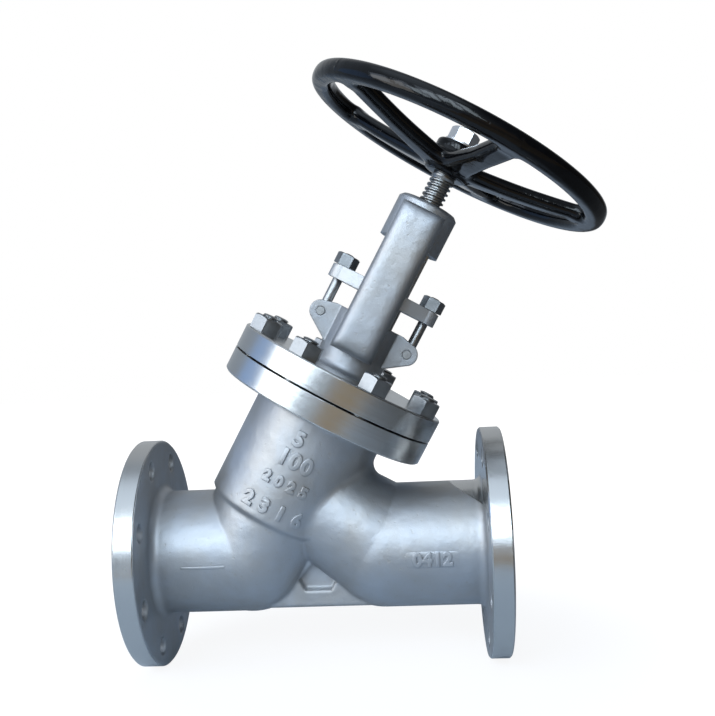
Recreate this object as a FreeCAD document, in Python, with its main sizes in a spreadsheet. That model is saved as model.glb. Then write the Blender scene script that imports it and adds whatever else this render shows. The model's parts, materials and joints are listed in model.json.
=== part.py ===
# Y-pattern globe valve: flanged ends, bolted bonnet, outside screw and yoke, five-spoke handwheel.
#
# The origin is the centre of the inlet flange's raised face. +X follows the pipe run to the outlet, +Z is up.
# The stem axis starts on the run's axis, at foot_x, and leans by "lean" degrees from +Z towards the outlet.
# Every piece on the stem axis is drawn upright, with its height measured along the stem from that crossing,
# and is then tilted into place. Sizes are millimetres and degrees, and stand in the sheet "Sizes".
import FreeCAD, Part
import Sketcher
import os
import re

SIZES = (
    # the run and its two end flanges, for a nominal bore of 100
    ("face_to_face", 368, "inlet raised face to outlet raised face"),
    ("bore_r", 50, "bore of the run"),
    ("pipe_r", 62, "outside of the run"),
    ("flange_r", 114.5, "end flange, outside"),
    ("flange_t", 22.3, "end flange with its raised face"),
    ("face_r", 78.6, "raised face, outside"),
    ("face_t", 2, "raised face, height"),
    ("flange_flare", 8, "blend between end flange and run"),
    ("end_circle_r", 95.25, "end flange bolt circle, radius"),
    ("end_hole_r", 9.5, "end flange bolt hole"),
    # the slanted neck and the bowls
    ("lean", 30, "stem axis from the vertical"),
    ("foot_x", 113, "stem axis meets the run axis here"),
    ("bowl_r", 62.6, "inlet bowl, outside"),
    ("bowl_cavity_r", 50.6, "inlet bowl, inside"),
    ("partition_h", 17, "underside of the partition that carries the seat"),
    ("neck_r", 67, "slanted neck, outside"),
    ("neck_foot", 41, "height where the neck steps in to the bowl"),
    ("neck_foot_round", 5, "rounding of that step"),
    ("neck_bore_r", 56, "slanted neck, inside"),
    ("neck_flare", 7, "blend between neck and body flange"),
    ("outlet_bowl_x", 247, "centre of the outlet bowl"),
    ("inlet_bore_len", 45, "bore of the inlet before it dips under the seat"),
    ("inlet_dip_x", 20, "the dipping passage's axis leaves the run here"),
    ("inlet_dip", 10, "drop of that axis at the foot of the stem"),
    ("inlet_dip_r", 47, "dipping passage"),
    ("channel_h", 75, "height where the outlet channel's axis leaves the stem"),
    ("channel_start_r", 52, "outlet channel at the stem, outside"),
    ("channel_end_r", 61.5, "outlet channel at the outlet bowl, outside"),
    ("crotch_round", 13, "blend between the neck and the outlet channel"),
    ("channel_wall", 14, "wall of the outlet channel"),
    ("web_depth", 54, "underside of the web below the run axis"),
    ("web_half", 30, "half the web's thickness"),
    ("web_recess", 11, "depth of the recess in each side of the web"),
    # the joint between body and bonnet
    ("joint_h", 178.6, "top of the body flange"),
    ("bonnet_r", 107.4, "body flange and bonnet flange, outside"),
    ("body_flange_t", 23.4, "body flange"),
    ("bonnet_flange_t", 23.2, "bonnet flange"),
    ("rim_edge", 1.5, "chamfer of the flange rims"),
    ("gasket_t", 2, "body gasket, thickness"),
    ("gasket_r", 77, "body gasket, outside"),
    ("spigot", 5, "bonnet spigot that centres in the neck"),
    ("spigot_gap", 0.2, "clearance round the spigot"),
    ("stud_circle_r", 92, "bonnet bolt circle, radius"),
    ("stud_r", 8, "bonnet stud"),
    ("stud_fit", 0.05, "clearance of a stud in its tapped hole"),
    ("stud_hole_r", 9, "bonnet flange bolt hole"),
    ("stud_depth", 19, "stud in the body flange"),
    ("stud_show", 5, "stud end above its nut"),
    ("stud_nut_r", 15.6, "bonnet nut, centre to corner"),
    ("stud_nut_t", 16, "bonnet nut, height"),
    ("bolts", 8, "bolts in each circle"),
    # stuffing box, lugs and yoke, cast with the bonnet
    ("box_r", 34, "stuffing box, outside"),
    ("box_h", 57.2, "stuffing box above the bonnet flange"),
    ("floor_rise", 1.2, "floor of the packing chamber above the bonnet flange"),
    ("packing_r", 21, "packing chamber"),
    ("packing_fit", 0.1, "clearance round the packing and its washer"),
    ("neck_fillet", 7, "blend between bonnet flange and stuffing box"),
    ("arm_half", 21, "half the width of a yoke arm"),
    ("arm_out", 51, "outer face of the yoke arms"),
    ("arm_in", 30, "inner face of the yoke arms"),
    ("arm_rise", 21.2, "lower end of the yoke arms above the bonnet flange"),
    ("arm_drop", 12, "upper end of the yoke arms below the boss's top"),
    ("arm_round", 7, "rounding of the arms' outer edges"),
    ("window_h", 81, "yoke window, height"),
    ("window_round", 6.5, "corners of the yoke window"),
    ("boss_r", 31, "top boss"),
    ("boss_h", 44, "top boss, height"),
    ("boss_edge", 3, "edge break of the top boss"),
    ("pin_out", 47.6, "eyebolt pin from the stem axis"),
    ("pin_drop", 14, "eyebolt pins below the top of the stuffing box"),
    ("pin_r", 4, "eyebolt pin"),
    ("pin_fit", 0.05, "clearance of a pin in its holes"),
    ("lug_r", 11, "rounded end of a lug"),
    ("lug_rise", 19.2, "where a lug's lower edge meets the stuffing box, above the bonnet flange"),
    ("lug_half", 14, "half the width over a pair of lugs"),
    ("lug_gap_half", 6, "half the gap between a pair of lugs"),
    # gland
    ("ring_t", 8, "one packing ring"),
    ("packing_washer_t", 3, "washer under the packing"),
    ("gland_rise", 24, "top of the gland bush above the stuffing box"),
    ("gland_seat", 3, "gland bush sits this deep in the gland flange"),
    ("gland_t", 14, "gland flange, thickness"),
    ("gland_hub_r", 26, "gland flange, middle"),
    ("ear_r", 12, "gland flange, ear end"),
    ("slot_half", 6, "half the width of an ear's open slot"),
    ("eye_r", 9.5, "eyebolt eye"),
    ("eye_half", 5.5, "half the thickness of the eye"),
    ("eyebolt_r", 5, "eyebolt shank"),
    ("eyebolt_show", 3, "eyebolt end above its nut"),
    ("gland_nut_r", 10.6, "gland nut, centre to corner"),
    ("gland_nut_t", 10, "gland nut, height"),
    ("lift_off", 0.3, "gap that keeps parts of separate bodies clear"),
    # seat, disc and stem
    ("seat_ledge", 26, "ledge under the seat ring"),
    ("seat_hole_r", 53, "hole in the partition that takes the seat ring"),
    ("seat_bore_r", 46, "seat ring, bore"),
    ("seat_h", 42, "seating face"),
    ("seat_land_r", 50, "seating face, outside"),
    ("disc_r", 52, "disc"),
    ("disc_t", 15, "disc, rim thickness"),
    ("disc_hub_r", 27, "disc, hub"),
    ("disc_hub_t", 30, "disc, hub height above the seating face"),
    ("disc_socket_r", 18, "socket in the disc for the stem's button"),
    ("button_r", 16, "button at the stem's foot"),
    ("button_t", 7, "button, thickness"),
    ("disc_nut_t", 14, "disc nut"),
    ("disc_nut_r", 26, "disc nut, centre to corner"),
    ("running", 0.05, "running clearance on the stem"),
    ("stem_r", 12, "stem, shank and thread crest"),
    ("stem_low_r", 11, "stem between button and backseat"),
    ("backseat_r", 17.5, "backseat shoulder"),
    ("lift", 28, "travel from the seat to the backseat"),
    ("backseat_bush_r", 19, "backseat bush, outside"),
    ("yoke_bush_r", 19, "yoke bush, outside"),
    ("yoke_bush_collar_r", 23, "collar under the yoke bush"),
    ("yoke_bush_collar_t", 4, "collar, thickness"),
    ("grub_r", 3, "grub screw in the yoke bush joint"),
    ("grub_t", 14, "grub screw, length"),
    # handwheel
    ("wheel_r", 157, "handwheel, outside"),
    ("rim_w", 20, "rim section, radial"),
    ("rim_t", 18, "rim section, along the stem"),
    ("rim_round", 6.5, "rim section, corner"),
    ("hub_r", 22, "wheel hub"),
    ("hub_rise", 32, "underside of the hub above the top boss, valve closed"),
    ("hub_h", 32, "wheel hub, height"),
    ("rim_drop", 4.5, "middle plane of the rim below the hub's top"),
    ("hub_edge", 3, "edge break of the hub"),
    ("spoke_rise", 11, "middle of a spoke at the hub, above the hub's underside"),
    ("spoke_root_w", 33, "spoke at the hub, width"),
    ("spoke_root_t", 14.5, "spoke at the hub, thickness"),
    ("spoke_waist_at", 86, "waist of a spoke from the stem axis"),
    ("spoke_dish", 8, "rise of a spoke from the hub to its waist"),
    ("spoke_waist_w", 25, "spoke at its waist, width"),
    ("spoke_waist_t", 15, "spoke at its waist, thickness"),
    ("spoke_end_w", 44, "spoke where it runs into the rim, width"),
    ("spoke_flare", 15, "length over which a spoke flares into the rim"),
    ("spoke_end_t", 13.5, "spoke at the rim, thickness"),
    ("spokes", 5, "spokes"),
    ("spoke_turn", 1.7, "first spoke from the plane of the run"),
    ("spindle_r", 10.5, "stem inside the hub"),
    ("spindle_end_r", 9, "stem thread above the hub"),
    ("wheel_washer_r", 16, "washer, outside"),
    ("wheel_washer_t", 2.5, "washer, thickness"),
    ("wheel_nut_r", 15, "wheel nut, centre to corner"),
    ("wheel_nut_t", 13, "wheel nut, height"),
    ("key_half", 3, "half the key's width"),
    ("key_out", 14, "outer face of the key from the stem axis"),
    ("key_in", 8.5, "inner face of the key from the stem axis"),
    ("key_len", 24, "key, length"),
)
# heights along the stem that follow from the sizes
LEVELS = {
    "bonnet_low": "joint_h + gasket_t",
    "bonnet_top": "bonnet_low + bonnet_flange_t",
    "lug_foot": "bonnet_top + lug_rise",
    "arm_foot": "bonnet_top + arm_rise",
    "box_floor": "bonnet_top + floor_rise",
    "box_top": "bonnet_top + box_h",
    "pin_h": "box_top - pin_drop",
    "gland_bush_top": "box_top + gland_rise",
    "boss_foot": "box_top + window_h",
    "boss_top": "boss_foot + boss_h",
    "arm_top": "boss_top - arm_drop",
    "hub_foot": "boss_top + hub_rise",
    "hub_top": "hub_foot + hub_h",
    "wheel_h": "hub_top - rim_drop",
    "spoke_root_h": "hub_foot + spoke_rise",
    "spoke_waist_h": "spoke_root_h + spoke_dish",
}
NAMES = {name for name, value, meaning in SIZES}
WORD = re.compile(r"[a-z_]+")
V = FreeCAD.Vector

doc = FreeCAD.newDocument("y_pattern_globe_valve")
sheet = doc.addObject("Spreadsheet::Sheet", "Sizes")
for row, (name, value, meaning) in enumerate(SIZES, start=1):
    sheet.set(f"A{row}", name)
    sheet.set(f"B{row}", str(value))
    sheet.setAlias(f"B{row}", name)
    sheet.set(f"C{row}", meaning)
doc.recompute()


def formula(text):
    """Turn words that name a size or a level into references to the sheet."""
    return WORD.sub(spelled_out, str(text))


def spelled_out(match):
    """One word of a formula, in terms of the sheet."""
    word = match.group()
    if word in LEVELS:
        return "(" + formula(LEVELS[word]) + ")"
    return "Sizes." + word if word in NAMES else word


def number(text):
    """The present value of a formula."""
    return float(sheet.evalExpression(formula(text)))


def bind(thing, **properties):
    """Bind properties to formulas. A double underscore in a name stands for a dot."""
    for name, text in properties.items():
        thing.setExpression(name.replace("__", "."), formula(text))


def new_body(name, on_stem=True):
    """A body with its own label. One on the stem is drawn upright and tilted into place."""
    body = doc.addObject("PartDesign::Body", name)
    body.Label = name
    if on_stem:
        body.Placement = FreeCAD.Placement(V(0, 0, 0), FreeCAD.Rotation(V(0, 1, 0), 1))
        bind(body, Placement__Base__x="foot_x", Placement__Rotation__Angle="lean")
    return body


def origin_part(body, role):
    """One of the body's own origin planes or axes."""
    return next(part for part in body.Origin.OriginFeatures if part.Role == role)


def new_sketch(body, plane, turn_axis=None, turn=None, x=None, y=None, z=None):
    """A sketch on one of the body's origin planes, moved and turned in that plane's own directions."""
    sketch = body.newObject("Sketcher::SketchObject", "sketch")
    sketch.AttachmentSupport = [(origin_part(body, plane), "")]
    sketch.MapMode = "FlatFace"
    if turn is not None:
        turned = FreeCAD.Rotation(turn_axis, 1)
        sketch.AttachmentOffset = FreeCAD.Placement(V(0, 0, 0), turned)
        bind(sketch, AttachmentOffset__Rotation__Angle=turn)
    for axis, text in (("x", x), ("y", y), ("z", z)):
        if text is not None:
            sketch.setExpression("AttachmentOffset.Base." + axis, formula(text))
    return sketch


def pin_point(sketch, element, place, x, y):
    """Hold one point of a sketch at the two formulas."""
    for kind, text in (("DistanceX", x), ("DistanceY", y)):
        index = sketch.addConstraint(Sketcher.Constraint(kind, -1, 1, element, place, number(text)))
        sketch.setExpression(f"Constraints[{index}]", formula(text))


def outline(sketch, corners):
    """Draw a closed outline.

    A corner is (x, y), and a straight line leads on from it. A corner (x, y, radius, turn) starts an arc
    of that radius, which turns left for +1 and right for -1.
    """
    points = [V(number(corner[0]), number(corner[1]), 0) for corner in corners]
    for index, corner in enumerate(corners):
        start = points[index]
        end = points[(index + 1) % len(points)]
        if len(corner) == 2:
            sketch.addGeometry(Part.LineSegment(start, end))
            continue
        radius = number(corner[2])
        chord = end - start
        left = V(-chord.y, chord.x, 0).normalize()
        rise = max(radius ** 2 - (chord.Length / 2) ** 2, 0) ** 0.5
        centre = (start + end) * 0.5 + left * rise * corner[3]
        first, last = (start, end) if corner[3] > 0 else (end, start)
        angles = [V(1, 0, 0).getAngle(point - centre) * (1 if point.y >= centre.y else -1) for point in (first, last)]
        sketch.addGeometry(Part.ArcOfCircle(Part.Circle(centre, V(0, 0, 1), radius), *angles))
    for index, corner in enumerate(corners):
        following = (index + 1) % len(corners)
        ends_at = 1 if len(corner) == 4 and corner[3] < 0 else 2
        starts_at = 2 if len(corners[following]) == 4 and corners[following][3] < 0 else 1
        sketch.addConstraint(Sketcher.Constraint("Coincident", index, ends_at, following, starts_at))
        pin_point(sketch, index, 3 - ends_at, corner[0], corner[1])
        if len(corner) == 4:
            held = sketch.addConstraint(Sketcher.Constraint("Radius", index, number(corner[2])))
            sketch.setExpression(f"Constraints[{held}]", formula(corner[2]))
    return sketch


def circle(sketch, x, y, radius):
    """Draw a circle about the point (x, y)."""
    centre = V(number(x), number(y), 0)
    index = sketch.addGeometry(Part.Circle(centre, V(0, 0, 1), number(radius)))
    pin_point(sketch, index, 3, x, y)
    held = sketch.addConstraint(Sketcher.Constraint("Radius", index, number(radius)))
    sketch.setExpression(f"Constraints[{held}]", formula(radius))
    return sketch


def turned(body, sketch, axis="V_Axis", cut=False):
    """Turn a sketch right round one of its own axes, to add or to cut."""
    feature = body.newObject("PartDesign::Groove" if cut else "PartDesign::Revolution", "turned")
    feature.Profile = (sketch, [""])
    feature.ReferenceAxis = (sketch, [axis])
    doc.recompute()
    return feature


def padded(body, sketch, length, both=False, reverse=False):
    """Pad a sketch by a formula, to one side or half to each side."""
    feature = body.newObject("PartDesign::Pad", "pad")
    feature.Profile = (sketch, [""])
    feature.SideType = "Symmetric" if both else "One side"
    feature.Reversed = reverse
    bind(feature, Length=length)
    doc.recompute()
    return feature


def pocketed(body, sketch, length=None, both=False, reverse=False):
    """Cut a sketch's outline by a formula, or right through."""
    before = body.Shape.Volume
    feature = body.newObject("PartDesign::Pocket", "pocket")
    feature.Profile = (sketch, [""])
    feature.SideType = "Symmetric" if both else "One side"
    feature.Reversed = reverse
    if length is None:
        feature.Type = "ThroughAll"
    else:
        bind(feature, Length=length)
    doc.recompute()
    if not body.Shape.Volume < before:
        raise RuntimeError(f"{body.Label}: a pocket cuts nothing")
    return feature


def repeated(body, features, axis, count):
    """Repeat features evenly round one of the body's origin axes."""
    pattern = body.newObject("PartDesign::PolarPattern", "pattern")
    pattern.Originals = features
    pattern.Axis = (origin_part(body, axis), [""])
    pattern.Angle = 360
    bind(pattern, Occurrences=count)
    body.Tip = pattern
    doc.recompute()
    return pattern


def rounded_edges(body, radius, wanted):
    """Round the edges of the body's last feature that the test picks."""
    base = body.Tip
    picked = [f"Edge{i}" for i, edge in enumerate(base.Shape.Edges, start=1) if wanted(edge)]
    if not picked:
        raise RuntimeError(f"{body.Label}: no edge to round")
    feature = body.newObject("PartDesign::Fillet", "rounding")
    feature.Base = (base, picked)
    bind(feature, Radius=radius)
    doc.recompute()
    return feature


def ring(name, inner, outer, low, high, edge=None):
    """A plain ring on the stem axis, with an optional break of its upper outer edge."""
    body = new_body(name)
    upper = [(outer, high)] if edge is None else [(outer, f"{high} - {edge}"), (f"{outer} - {edge}", high)]
    turned(body, outline(new_sketch(body, "XZ_Plane"), [(inner, low), (outer, low)] + upper + [(inner, high)]))
    return body


def hexagon(sketch, corner_r):
    """A hexagon about the sketch's origin, with two corners on its first axis."""
    half = f"{corner_r} / 2"
    high = f"{corner_r} * sqrt(3) / 2"
    return outline(sketch, [(corner_r, "0"), (half, high), (f"-({half})", high), (f"-({corner_r})", "0"),
                            (f"-({half})", f"-({high})"), (half, f"-({high})")])


def nut(name, corner_r, low, height, bore, under=None, on_stem=True):
    """A hexagon nut with a chamfered top, standing on the height "low"."""
    body = new_body(name, on_stem)
    padded(body, hexagon(new_sketch(body, "XY_Plane", z=low), corner_r), height)
    top = f"{low} + {height}"
    chamfer = outline(new_sketch(body, "XZ_Plane"), [
        (f"{corner_r} * 0.87", top), (f"{corner_r} * 1.1", f"{top} - {corner_r} * 0.23 * 0.6"), (f"{corner_r} * 1.1", top)])
    turned(body, chamfer, cut=True)
    pocketed(body, circle(new_sketch(body, "XY_Plane", z=low), "0", "0", bore), height, reverse=True)
    return body


def in_circle(name, piece, radius, count, first_turn):
    """One node of equal separate pieces, evenly set round the stem axis."""
    upright = piece.Shape.copy()
    upright.Placement = FreeCAD.Placement()
    tilt = FreeCAD.Placement(V(number("foot_x"), 0, 0), FreeCAD.Rotation(V(0, 1, 0), number("lean")))
    copies = []
    for step in range(int(number(count))):
        turn = FreeCAD.Rotation(V(0, 0, 1), first_turn + step * 360 / number(count))
        place = tilt.multiply(FreeCAD.Placement(turn.multVec(V(number(radius), 0, 0)), turn))
        copy = upright.copy()
        copy.Placement = place
        copies.append(copy)
    group = doc.addObject("Part::Feature", name)
    group.Label = name
    group.Shape = Part.makeCompound(copies)
    return group


def near(value, formula_text, room=0.01):
    """Whether a number lies at a formula's value."""
    return abs(value - number(formula_text)) < room


HALF_STEP = 180 / number("bolts")
LEAN_BACK = V(0, 0, -1)


def make_body():
    """The y-pattern casting: limbs turned about the run, neck and cavities about the stem, channel between them."""
    body = new_body("body", on_stem=False)
    stem_plane = dict(turn_axis=LEAN_BACK, turn="lean", x="foot_x")
    channel_drop = "atan(channel_h * cos(lean) / (outlet_bowl_x - foot_x - channel_h * sin(lean)))"
    channel_plane = dict(turn_axis=V(0, 0, 1), turn=f"90 deg - {channel_drop}", x="outlet_bowl_x")
    channel_len = f"channel_h * cos(lean) / sin({channel_drop})"

    # outside of the inlet limb
    turned(body, outline(new_sketch(body, "XZ_Plane"), [
        ("0", "0"), ("foot_x", "0"), ("foot_x", "pipe_r"),
        ("flange_t + flange_flare", "pipe_r", "flange_flare", -1), ("flange_t", "pipe_r + flange_flare"),
        ("flange_t", "flange_r - rim_edge"), ("flange_t - rim_edge", "flange_r"), ("face_t + rim_edge", "flange_r"),
        ("face_t", "flange_r - rim_edge"), ("face_t", "face_r"), ("0", "face_r")]), "H_Axis")
    # the inlet bowl, and the slanted neck with the body flange on top
    under = "joint_h - body_flange_t"
    turned(body, outline(new_sketch(body, "XZ_Plane", **stem_plane), [
        ("0", "-bowl_r", "bowl_r", 1), ("bowl_r", "0"), ("bowl_r", "neck_foot"),
        ("neck_r", "neck_foot + neck_foot_round"), ("neck_r", f"{under} - neck_flare", "neck_flare", -1),
        ("neck_r + neck_flare", under), ("bonnet_r - rim_edge", under),
        ("bonnet_r", f"{under} + rim_edge"), ("bonnet_r", "joint_h"), ("0", "joint_h")]))
    # the channel that swells from the neck to the outlet bowl
    turned(body, outline(new_sketch(body, "XZ_Plane", **channel_plane), [
        ("0", "0"), ("channel_end_r", "0"), ("channel_start_r", channel_len), ("0", channel_len)]))
    # outside of the outlet limb, with its own round bowl
    back = "face_to_face - flange_t"
    turned(body, outline(new_sketch(body, "XZ_Plane"), [
        ("outlet_bowl_x - pipe_r", "0"), ("face_to_face", "0"), ("face_to_face", "face_r"),
        ("face_to_face - face_t", "face_r"), ("face_to_face - face_t", "flange_r - rim_edge"),
        ("face_to_face - face_t - rim_edge", "flange_r"), (f"{back} + rim_edge", "flange_r"),
        (back, "flange_r - rim_edge"),
        (back, "pipe_r + flange_flare", "flange_flare", -1), (f"{back} - flange_flare", "pipe_r"),
        ("outlet_bowl_x", "pipe_r", "pipe_r", 1)]), "H_Axis")
    rounded_edges(body, "crotch_round", climbs_neck)
    # the web that closes the gap between the two bowls
    padded(body, outline(new_sketch(body, "XZ_Plane"), [
        ("foot_x", "-web_depth"), ("outlet_bowl_x", "-web_depth"), ("outlet_bowl_x", "-0.4 * pipe_r"),
        ("outlet_bowl_x - pipe_r", "0.1 * pipe_r"), ("foot_x", "0")]), "2 * web_half", both=True)
    # a three-cornered recess in each side of the web
    middle = "(foot_x + bowl_r + outlet_bowl_x - pipe_r) / 2"
    recess = outline(new_sketch(body, "XZ_Plane", z="web_half"), [
        (f"{middle} - 13", "-0.7 * web_depth"), (f"{middle} + 13", "-0.7 * web_depth"),
        (f"{middle} + 20", "-0.5 * web_depth"), (f"{middle} + 10", "-0.2 * web_depth"),
        (f"{middle} - 3", "-0.16 * web_depth"), (f"{middle} - 19", "-0.5 * web_depth")])
    front = pocketed(body, recess, "web_recess")
    rear = body.newObject("PartDesign::Mirrored", "rear_recess")
    rear.Originals = [front]
    rear.MirrorPlane = (origin_part(body, "XZ_Plane"), [""])
    body.Tip = rear
    doc.recompute()

    # the inlet bore, which dips under the seat, then its bowl with the seat's ledge and the neck bore above it
    turned(body, outline(new_sketch(body, "XZ_Plane"), [
        ("0", "0"), ("inlet_bore_len", "0"), ("inlet_bore_len", "bore_r"), ("0", "bore_r")]), "H_Axis", cut=True)
    dip = "atan(inlet_dip / (foot_x - inlet_dip_x))"
    dip_plane = dict(turn_axis=LEAN_BACK, turn=f"90 deg + {dip}", x="inlet_dip_x")
    dip_len = f"(foot_x - inlet_dip_x) / cos({dip})"
    turned(body, outline(new_sketch(body, "XZ_Plane", **dip_plane), [
        ("0", "0"), ("inlet_dip_r", "0"), ("inlet_dip_r", dip_len), ("0", dip_len)]), cut=True)
    turned(body, outline(new_sketch(body, "XZ_Plane", **stem_plane), [
        ("0", "-bowl_cavity_r", "bowl_cavity_r", 1), ("bowl_cavity_r", "0"), ("bowl_cavity_r", "partition_h"),
        ("seat_bore_r", "partition_h"), ("seat_bore_r", "seat_ledge"), ("seat_hole_r", "seat_ledge"),
        ("seat_hole_r", "seat_h - 3"), ("neck_bore_r", "seat_h - 3"), ("neck_bore_r", "joint_h"),
        ("0", "joint_h")]), cut=True)
    # the outlet channel and bore
    turned(body, outline(new_sketch(body, "XZ_Plane", **channel_plane), [
        ("0", "0"), ("channel_end_r - channel_wall", "0"), ("channel_start_r - channel_wall", channel_len),
        ("0", channel_len)]), cut=True)
    turned(body, outline(new_sketch(body, "XZ_Plane"), [
        ("outlet_bowl_x - bore_r", "0"), ("face_to_face", "0"), ("face_to_face", "bore_r"),
        ("outlet_bowl_x", "bore_r", "bore_r", 1)]), "H_Axis", cut=True)

    # bolt holes of the end flanges, which straddle the centre lines
    for start, reverse in (("0", True), ("face_to_face", False)):
        hole = circle(new_sketch(body, "YZ_Plane", z=start), f"end_circle_r * cos({HALF_STEP})",
                      f"end_circle_r * sin({HALF_STEP})", "end_hole_r")
        repeated(body, [pocketed(body, hole, "flange_t", reverse=reverse)], "X_Axis", "bolts")
    # tapped holes for the bonnet studs
    depth = "stud_depth + 1"
    for step in range(int(number("bolts"))):
        angle = f"360 / bolts * {step} + {HALF_STEP}"
        tapped = circle(new_sketch(body, "XY_Plane", V(0, 1, 0), "lean", x="foot_x + joint_h * sin(lean)",
                                   z="joint_h * cos(lean)"),
                        f"stud_circle_r * cos({angle})", f"stud_circle_r * sin({angle})", "stud_r + stud_fit")
        pocketed(body, tapped, depth)
    return body


def climbs_neck(edge):
    """Whether an edge climbs the outside of the neck, as the crease beside the outlet channel does."""
    lean = FreeCAD.Rotation(V(0, 1, 0), number("lean"))
    along = lean.multVec(V(0, 0, 1))
    points = [point - V(number("foot_x"), 0, 0) for point in edge.discretize(5)]
    heights = [point.dot(along) for point in points]
    radii = [(point - along * height).Length for point, height in zip(points, heights)]
    climbs = max(heights) - min(heights) > 1 and max(abs(point.y) for point in points) > 1
    return climbs and all(near(radius, "neck_r", 0.05) for radius in radii)


def make_bonnet():
    """Bonnet flange, stuffing box, eyebolt lugs, yoke arms and top boss, cast in one."""
    body = new_body("bonnet")
    low = "bonnet_low"
    top = "bonnet_top"
    spigot_r = "neck_bore_r - spigot_gap"
    turned(body, outline(new_sketch(body, "XZ_Plane"), [
        ("0", "joint_h - spigot"), (spigot_r, "joint_h - spigot"), (spigot_r, low), ("bonnet_r", low),
        ("bonnet_r", f"{top} - rim_edge"), ("bonnet_r - rim_edge", top), ("box_r + neck_fillet", top,
         "neck_fillet", -1), ("box_r", f"{top} + neck_fillet"), ("box_r", "box_top"), ("0", "box_top")]))
    # the two yoke arms as one block, with its window cut later
    padded(body, outline(new_sketch(body, "YZ_Plane"), [
        ("-arm_out", "arm_foot"), ("arm_out", "arm_foot"), ("arm_out", "arm_top"), ("-arm_out", "arm_top")]),
        "2 * arm_half", both=True)
    rounded_edges(body, "arm_round", lambda edge: (
        abs(abs(middle_of(body, edge).y) - number("arm_out")) < 0.01))
    turned(body, outline(new_sketch(body, "XZ_Plane"), [
        ("0", "boss_foot"), ("boss_r", "boss_foot"), ("boss_r", "boss_top - boss_edge"),
        ("boss_r - boss_edge", "boss_top"), ("0", "boss_top")]))
    # lugs for the eyebolt pins, one pair on each side
    for side in ("", "-"):
        padded(body, outline(new_sketch(body, "XZ_Plane"), lug_corners(side)), "2 * lug_half", both=True)
        slot = outline(new_sketch(body, "XZ_Plane"), slot_corners(side))
        pocketed(body, slot, "2 * lug_gap_half", both=True)
        hole = circle(new_sketch(body, "XZ_Plane"), f"{side}pin_out", "pin_h", "pin_r + pin_fit")
        pocketed(body, hole, "2 * lug_half", both=True)
    # the window between the arms
    window = rounded_window("arm_in", "box_top", "boss_foot", "window_round")
    pocketed(body, outline(new_sketch(body, "YZ_Plane"), window), "4 * arm_half", both=True)
    # packing chamber, stem bore and the seats of the two bushes
    bush_top = f"{low} + 12"
    turned(body, outline(new_sketch(body, "XZ_Plane"), [
        ("0", "joint_h - spigot"), ("backseat_bush_r", "joint_h - spigot"), ("backseat_bush_r", bush_top),
        ("stem_r + 0.6", bush_top), ("stem_r + 0.6", "box_floor"), ("packing_r", "box_floor"),
        ("packing_r", "box_top"), ("0", "box_top")]), cut=True)
    turned(body, outline(new_sketch(body, "XZ_Plane"), [
        ("0", "boss_foot"), ("yoke_bush_r", "boss_foot"), ("yoke_bush_r", "boss_top"), ("0", "boss_top")]), cut=True)
    # bolt holes
    hole = circle(new_sketch(body, "XY_Plane", z=top), f"stud_circle_r * cos({HALF_STEP})",
                  f"stud_circle_r * sin({HALF_STEP})", "stud_hole_r")
    repeated(body, [pocketed(body, hole, "bonnet_flange_t")], "Z_Axis", "bolts")
    # half of the grub screw's hole lies in the boss
    grub = circle(new_sketch(body, "XY_Plane", z="boss_top"), "0", "yoke_bush_r", "grub_r")
    pocketed(body, grub, "grub_t")
    return body


def middle_of(body, edge):
    """The middle of an edge in the body's own upright frame."""
    return edge.valueAt((edge.FirstParameter + edge.LastParameter) / 2)


def lug_corners(side):
    """One lug from the side: a round end about the pin, and an edge that tapers down to the stuffing box."""
    turn = 1 if side == "-" else -1
    inner = f"{side}(packing_r + 3)"
    flat = f"{side}(pin_out)"
    low_x = f"{side}(pin_out + lug_r * sin(30))"
    low_y = "pin_h - lug_r * cos(30)"
    return [(inner, "box_top"), (f"{side}(pin_out - lug_r)", "box_top"), (flat, "pin_h + lug_r", "lug_r", turn),
            (f"{side}(pin_out + lug_r)", "pin_h", "lug_r", turn), (low_x, low_y),
            (f"{side}(box_r - 2)", "lug_foot"), (inner, "lug_foot")]


def slot_corners(side):
    """The gap between a pair of lugs, which clears the eye."""
    inner = f"{side}(pin_out - eye_r - 2)"
    outer = f"{side}(pin_out + lug_r + 1)"
    return [(inner, "lug_foot - 1"), (outer, "lug_foot - 1"), (outer, "box_top + 1"), (inner, "box_top + 1")]


def rounded_window(half, low, high, corner):
    """A window that is square below and has rounded upper corners."""
    return [(f"-{half}", low), (half, low), (half, f"{high} - {corner}", corner, 1), (f"{half} - {corner}", high),
            (f"-{half} + {corner}", high, corner, 1), (f"-{half}", f"{high} - {corner}")]


def make_stuffing():
    """Packing washer, packing rings and gland bush, from the chamber's floor upwards."""
    inner = "stem_r + running"
    outer = "packing_r - packing_fit"
    floor = "box_floor"
    pieces = [ring("packing_washer", inner, outer, floor, f"{floor} + packing_washer_t")]
    for step in range(5):
        low = f"{floor} + packing_washer_t + {step} * ring_t"
        pieces.append(ring(f"packing_ring_{step + 1}", inner, outer, low, f"{low} + ring_t"))
    bush_low = f"{floor} + packing_washer_t + 5 * ring_t"
    bush = new_body("gland_bush")
    turned(bush, outline(new_sketch(bush, "XZ_Plane"), [
        (inner, bush_low), (outer, bush_low), (outer, "gland_bush_top - 1.5"), (f"{outer} - 1.5", "gland_bush_top"),
        (inner, "gland_bush_top")]))
    return pieces + [bush]


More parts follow.
